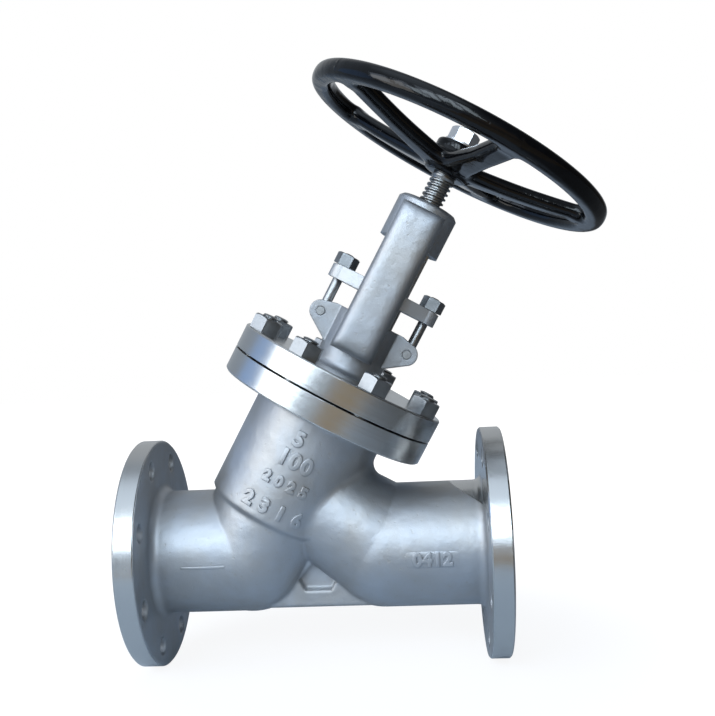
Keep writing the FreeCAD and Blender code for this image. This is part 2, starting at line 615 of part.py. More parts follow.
def make_gland_flange():
    """The two-eared gland flange. Its ears are crowned about the eyebolt pins and slotted open at their ends."""
    body = new_body("gland_flange")
    low = "gland_bush_top - gland_seat"
    ends = "pin_out"
    plan = [(f"-({ends})", "-ear_r"), ("-gland_hub_r * 0.6", "-gland_hub_r * 0.8", "gland_hub_r", 1),
            ("gland_hub_r * 0.6", "-gland_hub_r * 0.8"), (ends, "-ear_r", "ear_r", 1),
            (f"{ends} + ear_r", "0", "ear_r", 1), (ends, "ear_r"), ("gland_hub_r * 0.6", "gland_hub_r * 0.8",
             "gland_hub_r", 1), ("-gland_hub_r * 0.6", "gland_hub_r * 0.8"), (f"-({ends})", "ear_r", "ear_r", 1),
            (f"-({ends}) - ear_r", "0", "ear_r", 1)]
    padded(body, outline(new_sketch(body, "XY_Plane", z=low), plan), "gland_t")
    for side in ("", "-"):
        slot = outline(new_sketch(body, "XY_Plane", z=low), [
            (f"{side}(pin_out - slot_half)", "-slot_half"), (f"{side}(pin_out + ear_r + 1)", "-slot_half"),
            (f"{side}(pin_out + ear_r + 1)", "slot_half"), (f"{side}(pin_out - slot_half)", "slot_half")])
        pocketed(body, slot, "gland_t", reverse=True)
        # the crown: material above an arc about the pin comes off
        crown_r = f"{low} + gland_t - pin_h"
        reach = "slot_half + 7"
        drop = f"sqrt(({crown_r}) ^ 2 - ({reach}) ^ 2)"
        outside = (f"{side}(pin_out + {reach})", f"pin_h + {drop}")
        inside = (f"{side}(pin_out - {reach})", f"pin_h + {drop}")
        tip = (f"{side}(pin_out)", f"{low} + gland_t")
        turn = 1 if side == "-" else -1
        crown = [tip + (crown_r, turn), outside, (outside[0], f"{low} + gland_t + 1"), (tip[0], f"{low} + gland_t + 1")]
        pocketed(body, outline(new_sketch(body, "XZ_Plane"), crown), "3 * ear_r", both=True)
    hole = circle(new_sketch(body, "XY_Plane", z=low), "0", "0", "stem_r + 1.5")
    pocketed(body, hole, "gland_t", reverse=True)
    seat = circle(new_sketch(body, "XY_Plane", z=low), "0", "0", "packing_r + 0.1")
    pocketed(body, seat, "gland_seat", reverse=True)
    return body


def make_eyebolts():
    """Left and right swing eyebolts with their pins and nuts."""
    pieces = []
    nut_low = "gland_bush_top - gland_seat + gland_t + lift_off"
    for side, name in (("-", "left"), ("", "right")):
        bolt = new_body(f"eyebolt_{name}")
        at = f"{side}pin_out"
        eye = circle(new_sketch(bolt, "XZ_Plane"), at, "pin_h", "eye_r")
        padded(bolt, eye, "2 * eye_half", both=True)
        shank_top = f"{nut_low} + gland_nut_t + eyebolt_show"
        shank = new_sketch(bolt, "XZ_Plane", x=at)
        turned(bolt, outline(shank, [("0", "pin_h"), ("eyebolt_r", "pin_h"), ("eyebolt_r", f"{shank_top} - 1"),
                                     ("eyebolt_r - 1", shank_top), ("0", shank_top)]))
        pocketed(bolt, circle(new_sketch(bolt, "XZ_Plane"), at, "pin_h", "pin_r + pin_fit"), "3 * eye_half", both=True)
        pin = new_body(f"eyebolt_pin_{name}")
        padded(pin, circle(new_sketch(pin, "XZ_Plane"), at, "pin_h", "pin_r"), "2 * lug_half + 3", both=True)
        gland_nut = nut(f"gland_nut_{name}", "gland_nut_r", nut_low, "gland_nut_t", "eyebolt_r")
        shift = f"{side}pin_out"
        bind(gland_nut, Placement__Base__x=f"foot_x + ({shift}) * cos(lean)",
             Placement__Base__z=f"-({shift}) * sin(lean)")
        doc.recompute()
        pieces += [bolt, pin, gland_nut]
    return pieces


def make_trim():
    """Seat ring, disc, disc nut, stem and the two bushes."""
    seat = new_body("seat_ring")
    turned(seat, outline(new_sketch(seat, "XZ_Plane"), [
        ("seat_bore_r", "seat_ledge"), ("seat_hole_r - running", "seat_ledge"),
        ("seat_hole_r - running", "seat_h - 3"), ("seat_land_r", "seat_h"), ("seat_bore_r", "seat_h")]))
    disc_low = "seat_h + lift_off"
    socket = f"{disc_low} + disc_hub_t - 16"
    disc = new_body("disc")
    turned(disc, outline(new_sketch(disc, "XZ_Plane"), [
        ("0", f"{disc_low} - 3"), ("seat_bore_r - 6", f"{disc_low} - 3"), ("seat_bore_r - 3", disc_low),
        ("disc_r", disc_low), ("disc_r", f"{disc_low} + disc_t - 3"), ("disc_r - 3", f"{disc_low} + disc_t"),
        ("disc_hub_r + 4", f"{disc_low} + disc_t", "4", -1), ("disc_hub_r", f"{disc_low} + disc_t + 4"),
        ("disc_hub_r", f"{disc_low} + disc_hub_t"), ("disc_socket_r + 2", f"{disc_low} + disc_hub_t"),
        ("disc_socket_r + 2", f"{socket} + button_t + 1"), ("disc_socket_r", f"{socket} + button_t + 1"),
        ("disc_socket_r", socket), ("0", socket)]))
    # the disc nut is screwed into the disc's hub and keeps the stem's button in its socket
    nut_low = f"{socket} + button_t + 1"
    nut_flange = f"{disc_low} + disc_hub_t"
    disc_nut = new_body("disc_nut")
    turned(disc_nut, outline(new_sketch(disc_nut, "XZ_Plane"), [
        ("stem_low_r + 0.5", nut_low), ("disc_socket_r + 2 - running", nut_low),
        ("disc_socket_r + 2 - running", nut_flange), ("stem_low_r + 0.5", nut_flange)]))
    padded(disc_nut, hexagon(new_sketch(disc_nut, "XY_Plane", z=nut_flange), "disc_nut_r"), "disc_nut_t")
    pocketed(disc_nut, circle(new_sketch(disc_nut, "XY_Plane", z=nut_flange), "0", "0", "stem_low_r + 0.5"),
             "disc_nut_t", reverse=True)

    shoulder = "joint_h - spigot - lift - 1"
    stem = new_body("stem")
    button_low = f"{socket} + 0.5"
    spindle_low = "hub_foot - 1"
    end = "hub_top + wheel_washer_t + wheel_nut_t + 1.5"
    turned(stem, outline(new_sketch(stem, "XZ_Plane"), [
        ("0", button_low), ("button_r", button_low), ("button_r", f"{button_low} + button_t - 1"),
        ("stem_low_r", f"{button_low} + button_t - 1"), ("stem_low_r", f"{shoulder} - 12"),
        ("backseat_r", f"{shoulder} - 8"), ("backseat_r", f"{shoulder} - 4"), ("stem_r", shoulder),
        ("stem_r", spindle_low), ("spindle_r", spindle_low), ("spindle_r", "hub_top - 1"),
        ("spindle_end_r", "hub_top - 1"), ("spindle_end_r", f"{end} - 1"), ("spindle_end_r - 1", end), ("0", end)]))
    key_seat = outline(new_sketch(stem, "XY_Plane", z=KEY_FOOT), [
        ("key_in", "-key_half"), ("spindle_r + 1", "-key_half"), ("spindle_r + 1", "key_half"), ("key_in", "key_half")])
    pocketed(stem, key_seat, "key_len", reverse=True)

    backseat = new_body("backseat_bush")
    bush_top = "bonnet_low + 12"
    turned(backseat, outline(new_sketch(backseat, "XZ_Plane"), [
        ("stem_r + running + 4", "joint_h - spigot"), ("backseat_bush_r", "joint_h - spigot"),
        ("backseat_bush_r", bush_top), ("stem_r + running", bush_top),
        ("stem_r + running", "joint_h - spigot + 4")]))
    yoke_bush = new_body("yoke_bush")
    turned(yoke_bush, outline(new_sketch(yoke_bush, "XZ_Plane"), [
        ("stem_r + running", "boss_foot - yoke_bush_collar_t"), ("yoke_bush_collar_r", "boss_foot - yoke_bush_collar_t"),
        ("yoke_bush_collar_r", "boss_foot"), ("yoke_bush_r", "boss_foot"), ("yoke_bush_r", "boss_top"),
        ("stem_r + running", "boss_top")]))
    pocketed(yoke_bush, circle(new_sketch(yoke_bush, "XY_Plane", z="boss_top"), "0", "yoke_bush_r", "grub_r"), "grub_t")
    grub = new_body("yoke_bush_screw")
    padded(grub, circle(new_sketch(grub, "XY_Plane", z="boss_top"), "0", "yoke_bush_r", "grub_r"), "grub_t", reverse=True)
    return [seat, disc, disc_nut, stem, backseat, yoke_bush, grub]


KEY_FOOT = "(hub_foot + hub_top - key_len) / 2"


def make_handwheel():
    """The dished handwheel: a rim, a hub and spokes that waist in and flare into the rim."""
    wheel = new_body("handwheel")
    inner = "wheel_r - rim_w"
    low = "wheel_h - rim_t / 2"
    high = "wheel_h + rim_t / 2"
    arc = ("rim_round", 1)
    turned(wheel, outline(new_sketch(wheel, "XZ_Plane"), [
        (f"{inner} + rim_round", low), ("wheel_r - rim_round", low) + arc, ("wheel_r", f"{low} + rim_round"),
        ("wheel_r", f"{high} - rim_round") + arc, ("wheel_r - rim_round", high),
        (f"{inner} + rim_round", high) + arc, (inner, f"{high} - rim_round"), (inner, f"{low} + rim_round") + arc]))
    sections = []
    near_hub = "hub_r * 1.1"
    flare_from = f"{inner} - spoke_flare"
    narrowing = "(spoke_root_w - spoke_waist_w)"
    widening = "(spoke_end_w - spoke_waist_w)"
    for at, middle, width, thick in (
            ("hub_r * 0.5", "spoke_root_h", "spoke_root_w", "spoke_root_t"),
            (near_hub, "spoke_root_h + spoke_dish * 0.1", f"spoke_waist_w + {narrowing} * 0.8", "spoke_root_t"),
            (f"{near_hub} + (spoke_waist_at - {near_hub}) * 0.45", "spoke_root_h + spoke_dish * 0.6",
             f"spoke_waist_w + {narrowing} * 0.25", "spoke_root_t * 0.5 + spoke_waist_t * 0.5"),
            ("spoke_waist_at", "spoke_waist_h", "spoke_waist_w", "spoke_waist_t"),
            (flare_from, "wheel_h - 1.5", f"spoke_waist_w + {widening} * 0.05", "spoke_end_t"),
            (f"{flare_from} + spoke_flare * 0.6", "wheel_h - 0.7", f"spoke_waist_w + {widening} * 0.3", "spoke_end_t"),
            (f"{inner}", "wheel_h", f"spoke_waist_w + {widening} * 0.75", "spoke_end_t"),
            (f"{inner} + rim_w / 4", "wheel_h", "spoke_end_w", "spoke_end_t")):
        section = new_sketch(wheel, "YZ_Plane", V(0, 1, 0), "spoke_turn", x=f"({at}) * sin(spoke_turn)",
                             z=f"({at}) * cos(spoke_turn)")
        outline(section, rounded_box(width, thick, middle))
        sections.append(section)
    spoke = wheel.newObject("PartDesign::AdditiveLoft", "spoke")
    spoke.Profile = (sections[0], [""])
    spoke.Sections = [(section, [""]) for section in sections[1:]]
    spoke.Ruled = True
    doc.recompute()
    repeated(wheel, [spoke], "Z_Axis", "spokes")
    turned(wheel, outline(new_sketch(wheel, "XZ_Plane"), [
        ("0", "hub_foot"), ("hub_r - hub_edge", "hub_foot"), ("hub_r", "hub_foot + hub_edge"),
        ("hub_r", "hub_top - hub_edge"), ("hub_r - hub_edge", "hub_top"), ("0", "hub_top")]))
    pocketed(wheel, circle(new_sketch(wheel, "XY_Plane", z="hub_top"), "0", "0", "spindle_r"), "hub_top - hub_foot")
    key_way = outline(new_sketch(wheel, "XY_Plane", z=KEY_FOOT), [
        ("0", "-key_half"), ("key_out", "-key_half"), ("key_out", "key_half"), ("0", "key_half")])
    pocketed(wheel, key_way, "hub_top", reverse=True)
    bind(wheel, Placement__Rotation__Angle="lean")

    key = new_body("wheel_key")
    padded(key, outline(new_sketch(key, "XY_Plane", z=KEY_FOOT), [
        ("key_in", "-key_half"), ("key_out", "-key_half"), ("key_out", "key_half"), ("key_in", "key_half")]), "key_len")
    washer = ring("wheel_washer", "spindle_end_r", "wheel_washer_r", "hub_top", "hub_top + wheel_washer_t")
    wheel_nut = nut("wheel_nut", "wheel_nut_r", "hub_top + wheel_washer_t", "wheel_nut_t", "spindle_end_r")
    return [wheel, key, washer, wheel_nut]


def rounded_box(width, thick, middle):
    """A section with full round ends, "width" across and "thick" high."""
    half = f"({width}) / 2"
    end = f"({thick}) / 2"
    flat = f"{half} - {end}"
    return [(f"-({flat})", f"{middle} - {end}"), (flat, f"{middle} - {end}", end, 1), (half, middle, end, 1),
            (flat, f"{middle} + {end}"), (f"-({flat})", f"{middle} + {end}", end, 1), (f"-({half})", middle, end, 1)]


def make_joint():
    """Body gasket, and the studs and nuts that pull the bonnet down on it."""
    gasket = ring("body_gasket", "neck_bore_r + 1", "gasket_r", "joint_h", "joint_h + gasket_t")
    nut_low = "bonnet_top"
    stud_top = f"{nut_low} + stud_nut_t + stud_show"
    stud = new_body("one_stud")
    turned(stud, outline(new_sketch(stud, "XZ_Plane"), [
        ("0", "joint_h - stud_depth"), ("stud_r", "joint_h - stud_depth"), ("stud_r", f"{stud_top} - 1.5"),
        ("stud_r - 1.5", stud_top), ("0", stud_top)]))
    one_nut = nut("one_nut", "stud_nut_r", nut_low, "stud_nut_t", "stud_r")
    studs = in_circle("bonnet_studs", stud, "stud_circle_r", "bolts", HALF_STEP)
    nuts = in_circle("bonnet_nuts", one_nut, "stud_circle_r", "bolts", HALF_STEP)
    return [gasket, studs, nuts]


pieces = [make_body(), make_bonnet(), make_gland_flange()]
pieces += make_joint() + make_stuffing() + make_eyebolts() + make_trim() + make_handwheel()
doc.recompute()

for thing in doc.Objects:
    if "Invalid" in thing.State or "Error" in thing.State:
        raise RuntimeError(f"{thing.Name}: {thing.State}")
for piece in pieces:
    if piece.Shape.isNull() or not piece.Shape.isValid():
        raise RuntimeError(f"{piece.Label}: the shape is not valid")

os.makedirs("parts", exist_ok=True)
for piece in pieces:
    piece.Shape.exportStep(os.path.join("parts", piece.Label + ".step"))
    box = piece.Shape.BoundBox
    print(f"{piece.Label}: {len(piece.Shape.Solids)} solid(s), {piece.Shape.Volume / 1000:.1f} cm3, "
          f"x {box.XMin:.1f} to {box.XMax:.1f}, z {box.ZMin:.1f} to {box.ZMax:.1f}")
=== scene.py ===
"""Looks of a y-pattern globe valve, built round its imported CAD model.

The body lies along X with the flow. The stem leans from the flow line, and what sits on it is worked out
in the stem's own frame: a runs across the stem in the lean's plane, y across it to the side, and h along
it, all from the point where the stem's line meets the flow line. Lengths are in metres, angles in radians.
"""

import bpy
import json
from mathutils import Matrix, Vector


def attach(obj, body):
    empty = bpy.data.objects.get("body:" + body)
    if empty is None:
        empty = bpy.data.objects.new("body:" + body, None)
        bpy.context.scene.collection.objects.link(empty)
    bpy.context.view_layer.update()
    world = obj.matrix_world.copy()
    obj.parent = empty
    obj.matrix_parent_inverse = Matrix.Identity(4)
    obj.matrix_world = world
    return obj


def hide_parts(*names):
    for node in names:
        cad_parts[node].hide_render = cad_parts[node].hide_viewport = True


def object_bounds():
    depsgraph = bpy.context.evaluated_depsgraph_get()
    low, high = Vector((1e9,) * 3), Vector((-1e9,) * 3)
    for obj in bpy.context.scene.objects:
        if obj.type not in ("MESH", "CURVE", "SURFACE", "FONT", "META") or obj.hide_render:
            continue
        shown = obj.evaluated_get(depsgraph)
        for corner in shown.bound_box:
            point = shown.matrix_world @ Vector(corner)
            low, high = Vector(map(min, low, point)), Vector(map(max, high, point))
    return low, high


bl_info = {
    "name": "Y-pattern globe valve",
    "version": (1, 0, 0),
    "blender": (4, 5, 0),
    "location": "3D View > Sidebar > Globe valve",
    "description": "Threads, handwheel, cast numbers and metal finishes of a y-pattern globe valve",
    "category": "Object",
}

import json
import math

import bpy
import numpy as np
from bpy.props import FloatProperty, FloatVectorProperty, IntProperty, PointerProperty
from mathutils import Matrix, Vector

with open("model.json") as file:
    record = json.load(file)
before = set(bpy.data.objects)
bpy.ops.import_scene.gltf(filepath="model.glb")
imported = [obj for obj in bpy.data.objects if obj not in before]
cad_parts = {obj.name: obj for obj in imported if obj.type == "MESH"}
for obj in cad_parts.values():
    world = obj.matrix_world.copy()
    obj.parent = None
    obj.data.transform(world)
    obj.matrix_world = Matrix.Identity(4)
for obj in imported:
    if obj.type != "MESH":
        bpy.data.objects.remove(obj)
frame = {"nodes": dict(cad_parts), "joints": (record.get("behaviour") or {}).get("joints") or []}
CAD_BOX = [list(corner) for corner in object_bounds()]

MM = 0.001
TAU = 2 * math.pi

# The wheel's joint gives the stem's line, and with it the stem's frame
WHEEL_JOINT = next(joint for joint in frame["joints"] if joint["name"] == "wheel_turn")
STEM_LINE = np.array(WHEEL_JOINT["axis"], float) / np.linalg.norm(WHEEL_JOINT["axis"])
STEM_POINT = np.array(WHEEL_JOINT["pos_m"], float)
STEM_FOOT = STEM_POINT - STEM_LINE * STEM_POINT[2] / STEM_LINE[2]
ACROSS = np.array([STEM_LINE[2], 0.0, -STEM_LINE[0]])
SIDE = np.array([0.0, 1.0, 0.0])


def on_stem(points):
    """Points (a, y, h) of the stem's frame in the row frame: foot + a across + y side + h line."""
    points = np.asarray(points, float)
    return STEM_FOOT + points[..., :1] * ACROSS + points[..., 1:2] * SIDE + points[..., 2:] * STEM_LINE


# Meshes


def grid_faces(rows, columns, closed_rows, closed_columns):
    """Corner numbers of the four-sided faces between neighbouring rows and columns of a grid."""
    row = np.arange(rows if closed_rows else rows - 1)[:, None]
    column = np.arange(columns if closed_columns else columns - 1)[None, :]
    next_row = (row + 1) % rows
    next_column = (column + 1) % columns
    corners = [row * columns + column, row * columns + next_column,
               next_row * columns + next_column, next_row * columns + column]
    return np.stack(np.broadcast_arrays(*corners), axis=-1).reshape(-1, 4)


def skin(name, grids, body, finish, crease=32, weld=0.004 * MM):
    """One piece from several grids of points. Each grid is (points, rows closed, columns closed).

    The seams between grids are welded, and edges sharper than the crease angle in degrees stay sharp.
    """
    vertices = []
    faces = []
    count = 0
    for points, closed_rows, closed_columns in grids:
        rows, columns = points.shape[:2]
        vertices.append(points.reshape(-1, 3))
        faces.append(grid_faces(rows, columns, closed_rows, closed_columns) + count)
        count += rows * columns
    mesh = bpy.data.meshes.new(name)
    mesh.from_pydata(np.concatenate(vertices).tolist(), [], np.concatenate(faces).tolist())
    return dressed(name, mesh, body, finish, crease, weld)


def dressed(name, mesh, body, finish, crease=32, weld=0.004 * MM):
    """Welds a mesh, turns its faces outwards, shades it, and makes it a piece that rides on a body."""
    import bmesh
    work = bmesh.new()
    work.from_mesh(mesh)
    bmesh.ops.remove_doubles(work, verts=work.verts, dist=weld)
    bmesh.ops.dissolve_degenerate(work, edges=work.edges, dist=weld / 4)
    bmesh.ops.recalc_face_normals(work, faces=work.faces)
    work.to_mesh(mesh)
    work.free()
    mesh.polygons.foreach_set("use_smooth", np.ones(len(mesh.polygons), bool))
    mesh.set_sharp_from_angle(angle=math.radians(crease))
    mesh.materials.clear()
    mesh.materials.append(finish)
    piece = bpy.data.objects.new(name, mesh)
    bpy.context.scene.collection.objects.link(piece)
    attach(piece, body)
    return piece


def turned(profile, steps=96, thread=None):
    """A turned surface about h: each profile point (r, h) is carried round the circle as (r cos t, r sin t, h).

    A thread is (lowest h, highest h, pitch, depth). Inside it the radius drops by the depth times a
    flat-topped wave of h / pitch - t / turn, so that the wave climbs one pitch in each turn.
    """
    profile = np.asarray(profile, float)
    turn = np.arange(steps) / steps * TAU
    radius = np.repeat(profile[:, :1], steps, axis=1)
    height = np.repeat(profile[:, 1:], steps, axis=1)
    if thread:
        low, high, pitch, depth = thread
        phase = (height / pitch - turn / TAU) % 1.0
        groove = np.clip((0.5 - np.abs(phase - 0.5)) * 4 - 0.55, 0, 1)
        groove = groove * groove * (3 - 2 * groove)
        run_out = np.clip((height - low) / pitch, 0, 1) * np.clip((high - height) / pitch, 0, 1)
        on_shank = np.repeat(profile[:, :1] > 0, steps, axis=1)
        radius = np.where(on_shank, radius - depth * (1 - groove) * run_out, radius)
    return np.stack([radius * np.cos(turn), radius * np.sin(turn), height], axis=-1)


def rows_between(low, high, radius, spacing):
    """Profile points (r, h) every so often from one height to the other, at one radius."""
    count = max(2, int(round(abs(high - low) / spacing)) + 1)
    heights = np.linspace(low, high, count)
    return [(radius, height) for height in heights]


def nut_surface(corner_r, bore_r, low, high, sides=6, first_turn=0.0, washer=False):
    """A chamfered nut about h.

    Its radius at turn t is the lesser of the prism's, flat / cos(t from the middle of its side), and a
    30 degree cone from each end, so the cone leaves the arcs that a turned nut has on its flats.
    """
    steps = sides * 20
    turn = np.arange(steps) / steps * TAU
    flat_r = corner_r * math.cos(math.pi / sides)
    from_middle = (turn - first_turn) % (TAU / sides) - math.pi / sides
    prism = flat_r / np.cos(from_middle)
    end_r = flat_r * 0.965
    slope = math.tan(math.radians(28))
    drop = (corner_r - end_r) * slope
    depths = np.array([0, 0.12, 0.26, 0.42, 0.6, 0.8, 1.02]) * drop
    top_rows = high - depths[::-1]
    bottom_rows = low + depths
    heights = np.concatenate([bottom_rows, top_rows])
    ends = np.concatenate([depths, depths[::-1]])
    cone = end_r + ends / slope
    if washer:
        cone = np.concatenate([corner_r + depths * 0, cone[len(depths):]])
    radius = np.minimum(prism[None, :], cone[:, None])
    lip = min(0.8 * MM, (end_r - bore_r) * 0.4)
    inner_rows = [(bore_r, high - lip), (bore_r, low + lip)]
    before = [(bore_r, low + lip), (bore_r + lip, low)]
    after = [(bore_r + lip, high)] + inner_rows[:1]
    whole_r = np.concatenate([[[r] * steps for r, _ in before], radius, [[r] * steps for r, _ in after]])
    whole_h = np.concatenate([[h for _, h in before], heights, [h for _, h in after]])
    height = np.repeat(whole_h[:, None], steps, axis=1)
    return np.stack([whole_r * np.cos(turn), whole_r * np.sin(turn), height], axis=-1)


def rounded_section(half_width, half_height, corner, steps=5):
    """Points round a rectangle with arcs at its corners, as (across, up)."""
    turns = np.linspace(0, math.pi / 2, steps)
    points = []
    for quarter, (sign_w, sign_h) in enumerate([(1, 1), (-1, 1), (-1, -1), (1, -1)]):
        t = turns + quarter * math.pi / 2
        points.append(np.stack([sign_w * (half_width - corner) + corner * np.cos(t),
                                sign_h * (half_height - corner) + corner * np.sin(t)], axis=-1))
    return np.concatenate(points)


# Shader nodes


class Tree:
    """Adds nodes to a node tree, and links each input that is given as another node's output."""

    def __init__(self, tree):
        self.tree = tree

    def add(self, kind, inputs=None, **settings):
        node = self.tree.nodes.new(kind)
        for name, value in settings.items():
            setattr(node, name, value)
        for name, value in (inputs or {}).items():
            socket = node.inputs[name]
            if isinstance(value, bpy.types.NodeSocket):
                self.tree.links.new(value, socket)
            else:
                socket.default_value = value
        return node

    def maths(self, operation, first, second=0.0, third=0.0, clamp=False):
        inputs = {0: first, 1: second, 2: third}
        return self.add("ShaderNodeMath", inputs, operation=operation, use_clamp=clamp).outputs[0]

    def vector(self, operation, first, second=(0, 0, 0), out="Vector"):
        return self.add("ShaderNodeVectorMath", {0: first, 1: second}, operation=operation).outputs[out]

    def step(self, value, low, high, first=0.0, last=1.0):
        """A smooth step of the value, from first at low to last at high."""
        inputs = {"Value": value, "From Min": low, "From Max": high, "To Min": first, "To Max": last}
        return self.add("ShaderNodeMapRange", inputs, interpolation_type="SMOOTHSTEP").outputs["Result"]

    def noise(self, vector, scale, detail=4.0, roughness=0.5, distortion=0.0):
        inputs = {"Vector": vector, "Scale": scale, "Detail": detail, "Roughness": roughness,
                  "Distortion": distortion}
        return self.add("ShaderNodeTexNoise", inputs).outputs["Fac"]

    def mix(self, factor, first, second):
        return self.add("ShaderNodeMix", {0: factor, 6: first, 7: second}, data_type="RGBA").outputs[2]

    def blend(self, factor, first, second):
        """first + factor (second - first), for plain values."""
        inputs = {0: factor, 2: first, 3: second}
        return self.add("ShaderNodeMix", inputs, data_type="FLOAT").outputs[0]

    def place(self):
        return self.add("ShaderNodeTexCoord").outputs["Object"]

    def group(self, name, inputs=None):
        node = self.add("ShaderNodeGroup")
        node.node_tree = bpy.data.node_groups[name]
        for socket, value in (inputs or {}).items():
            if isinstance(value, bpy.types.NodeSocket):
                self.tree.links.new(value, node.inputs[socket])
            else:
                node.inputs[socket].default_value = value
        return node.outputs


def new_group(name, inputs, outputs):
    """An empty shader node group with named sockets, as (group, Tree, input sockets, output node)."""
    group = bpy.data.node_groups.new(name, "ShaderNodeTree")
    for socket, kind, value in inputs:
        made = group.interface.new_socket(name=socket, in_out="INPUT", socket_type=kind)
        if value is not None:
            made.default_value = value
    for socket, kind in outputs:
        group.interface.new_socket(name=socket, in_out="OUTPUT", socket_type=kind)
    tree = Tree(group)
    taken = tree.add("NodeGroupInput").outputs
    given = tree.add("NodeGroupOutput").inputs
    return tree, taken, given


def put_out(tree, given, **values):
    for socket, value in values.items():
        tree.tree.links.new(value, given[socket.replace("_", " ")])


FLOAT = "NodeSocketFloat"
COLOR = "NodeSocketColor"
VECTOR = "NodeSocketVector"


def make_place_groups():
    """Groups that say where a point lies: about the flow line, and about the stem's line."""
    tree, taken, given = new_group("about_flow_line", [], [("Along", FLOAT), ("Radius", FLOAT)])
    split = tree.add("ShaderNodeSeparateXYZ", {0: tree.place()}).outputs
    radius = tree.maths("SQRT", tree.maths("ADD", tree.maths("MULTIPLY", split[1], split[1]),
                                           tree.maths("MULTIPLY", split[2], split[2])))
    put_out(tree, given, Along=split[0], Radius=radius)

    tree, taken, given = new_group("about_stem_line", [], [("Along", FLOAT), ("Radius", FLOAT), ("Turn", FLOAT)])
    offset = tree.vector("SUBTRACT", tree.place(), tuple(STEM_FOOT))
    along = tree.vector("DOT_PRODUCT", offset, tuple(STEM_LINE), out="Value")
    across = tree.vector("DOT_PRODUCT", offset, tuple(ACROSS), out="Value")
    sideways = tree.vector("DOT_PRODUCT", offset, tuple(SIDE), out="Value")
    radius = tree.maths("SQRT", tree.maths("ADD", tree.maths("MULTIPLY", across, across),
                                           tree.maths("MULTIPLY", sideways, sideways)))
    put_out(tree, given, Along=along, Radius=radius, Turn=tree.maths("ARCTAN2", sideways, across))


def make_surface_groups():
    """Groups for what the metals have on them: blasting, casting waves, turning marks, stains and wear."""
    tree, taken, given = new_group(
        "blasted_casting", [("Grain", FLOAT, 1.0), ("Wave", FLOAT, 1.0), ("Pits", FLOAT, 1.0)],
        [("Height", FLOAT), ("Roughness", FLOAT), ("Tone", FLOAT)])
    place = tree.place()
    coarse = tree.noise(place, 620, 3, 0.6)
    fine = tree.noise(place, 2100, 2, 0.6)
    wave = tree.noise(place, 52, 2, 0.45)
    cloud = tree.noise(place, 17, 5, 0.62, 0.3)
    pit_field = tree.noise(place, 235, 1, 0.4)
    pit = tree.step(pit_field, 0.69, 0.75)
    height = tree.maths("MULTIPLY", tree.maths("ADD", tree.maths("MULTIPLY", coarse, 0.22), tree.maths("MULTIPLY", fine, 0.1)),
                        taken["Grain"])
    height = tree.maths("MULTIPLY_ADD", tree.maths("MULTIPLY", wave, 2.0), taken["Wave"], height)
    height = tree.maths("SUBTRACT", height, tree.maths("MULTIPLY", tree.maths("MULTIPLY", pit, 0.16), taken["Pits"]))
    rough = tree.maths("MULTIPLY_ADD", cloud, 0.7, tree.maths("MULTIPLY", coarse, 0.3))
    tone = tree.maths("SUBTRACT", tree.step(cloud, 0.3, 0.72), tree.maths("MULTIPLY", tree.maths("MULTIPLY", pit, 0.4), taken["Pits"]))
    put_out(tree, given, Height=height, Roughness=rough, Tone=tone)

    tree, taken, given = new_group(
        "turning_marks", [("Along", FLOAT, 0.0), ("Radius", FLOAT, 0.0), ("Spacing", FLOAT, 0.0006)],
        [("Height", FLOAT), ("Roughness", FLOAT)])
    rate = tree.maths("DIVIDE", 1.0, taken["Spacing"])
    line_place = tree.add("ShaderNodeCombineXYZ", {0: tree.maths("MULTIPLY", taken["Along"], rate),
                                                   1: tree.maths("MULTIPLY", taken["Radius"], rate)}).outputs[0]
    lines = tree.noise(line_place, 1.0, 3, 0.65)
    bands = tree.noise(line_place, 0.09, 2, 0.5)
    smudge = tree.noise(tree.place(), 60, 3, 0.55)
    rough = tree.maths("MULTIPLY_ADD", bands, 0.5, tree.maths("MULTIPLY", smudge, 0.5))
    put_out(tree, given, Height=tree.maths("ADD", tree.maths("MULTIPLY", lines, 0.6), tree.maths("MULTIPLY", bands, 0.9)),
            Roughness=rough)

    tree, taken, given = new_group(
        "handling_marks", [("Scratches", FLOAT, 1.0)], [("Height", FLOAT), ("Roughness", FLOAT), ("Tone", FLOAT)])
    place = tree.place()
    drawn_out = tree.add("ShaderNodeMapping", {"Vector": place, "Rotation": (0.4, 0.9, 0.3),
                                               "Scale": (1.0, 0.07, 0.6)}).outputs[0]
    scratch = tree.step(tree.noise(drawn_out, 900, 2, 0.5), 0.66, 0.72)
    smear = tree.noise(place, 85, 4, 0.6, 0.4)
    fine = tree.noise(place, 1500, 2, 0.5)
    put_out(tree, given, Height=tree.maths("SUBTRACT", tree.maths("MULTIPLY", fine, 0.2),
                                           tree.maths("MULTIPLY", scratch, taken["Scratches"])),
            Roughness=tree.maths("MULTIPLY_ADD", scratch, 0.25, smear), Tone=tree.step(smear, 0.3, 0.7))


def new_material(name):
    material = bpy.data.materials.new(name)
    material.use_nodes = True
    tree = material.node_tree
    tree.nodes.clear()
    nodes = Tree(tree)
    shader = nodes.add("ShaderNodeBsdfPrincipled")
    output = nodes.add("ShaderNodeOutputMaterial")
    tree.links.new(shader.outputs[0], output.inputs[0])
    return material, nodes, shader


def wire(nodes, shader, **inputs):
    """Links or sets the shader's sockets by name, with _ for a space."""
    for name, value in inputs.items():
        socket = shader.inputs[name.replace("_", " ")]
        if isinstance(value, bpy.types.NodeSocket):
            nodes.tree.links.new(value, socket)
        else:
            socket.default_value = value


def bumped(nodes, height, distance, strength=1.0, soften=0.0):
    """A bump normal. Edges look rounded by the soften radius."""
    inputs = {"Height": height, "Distance": distance, "Strength": strength}
    if soften:
        inputs["Normal"] = nodes.add("ShaderNodeBevel", {"Radius": soften}, samples=6).outputs[0]
    return nodes.add("ShaderNodeBump", inputs).outputs[0]


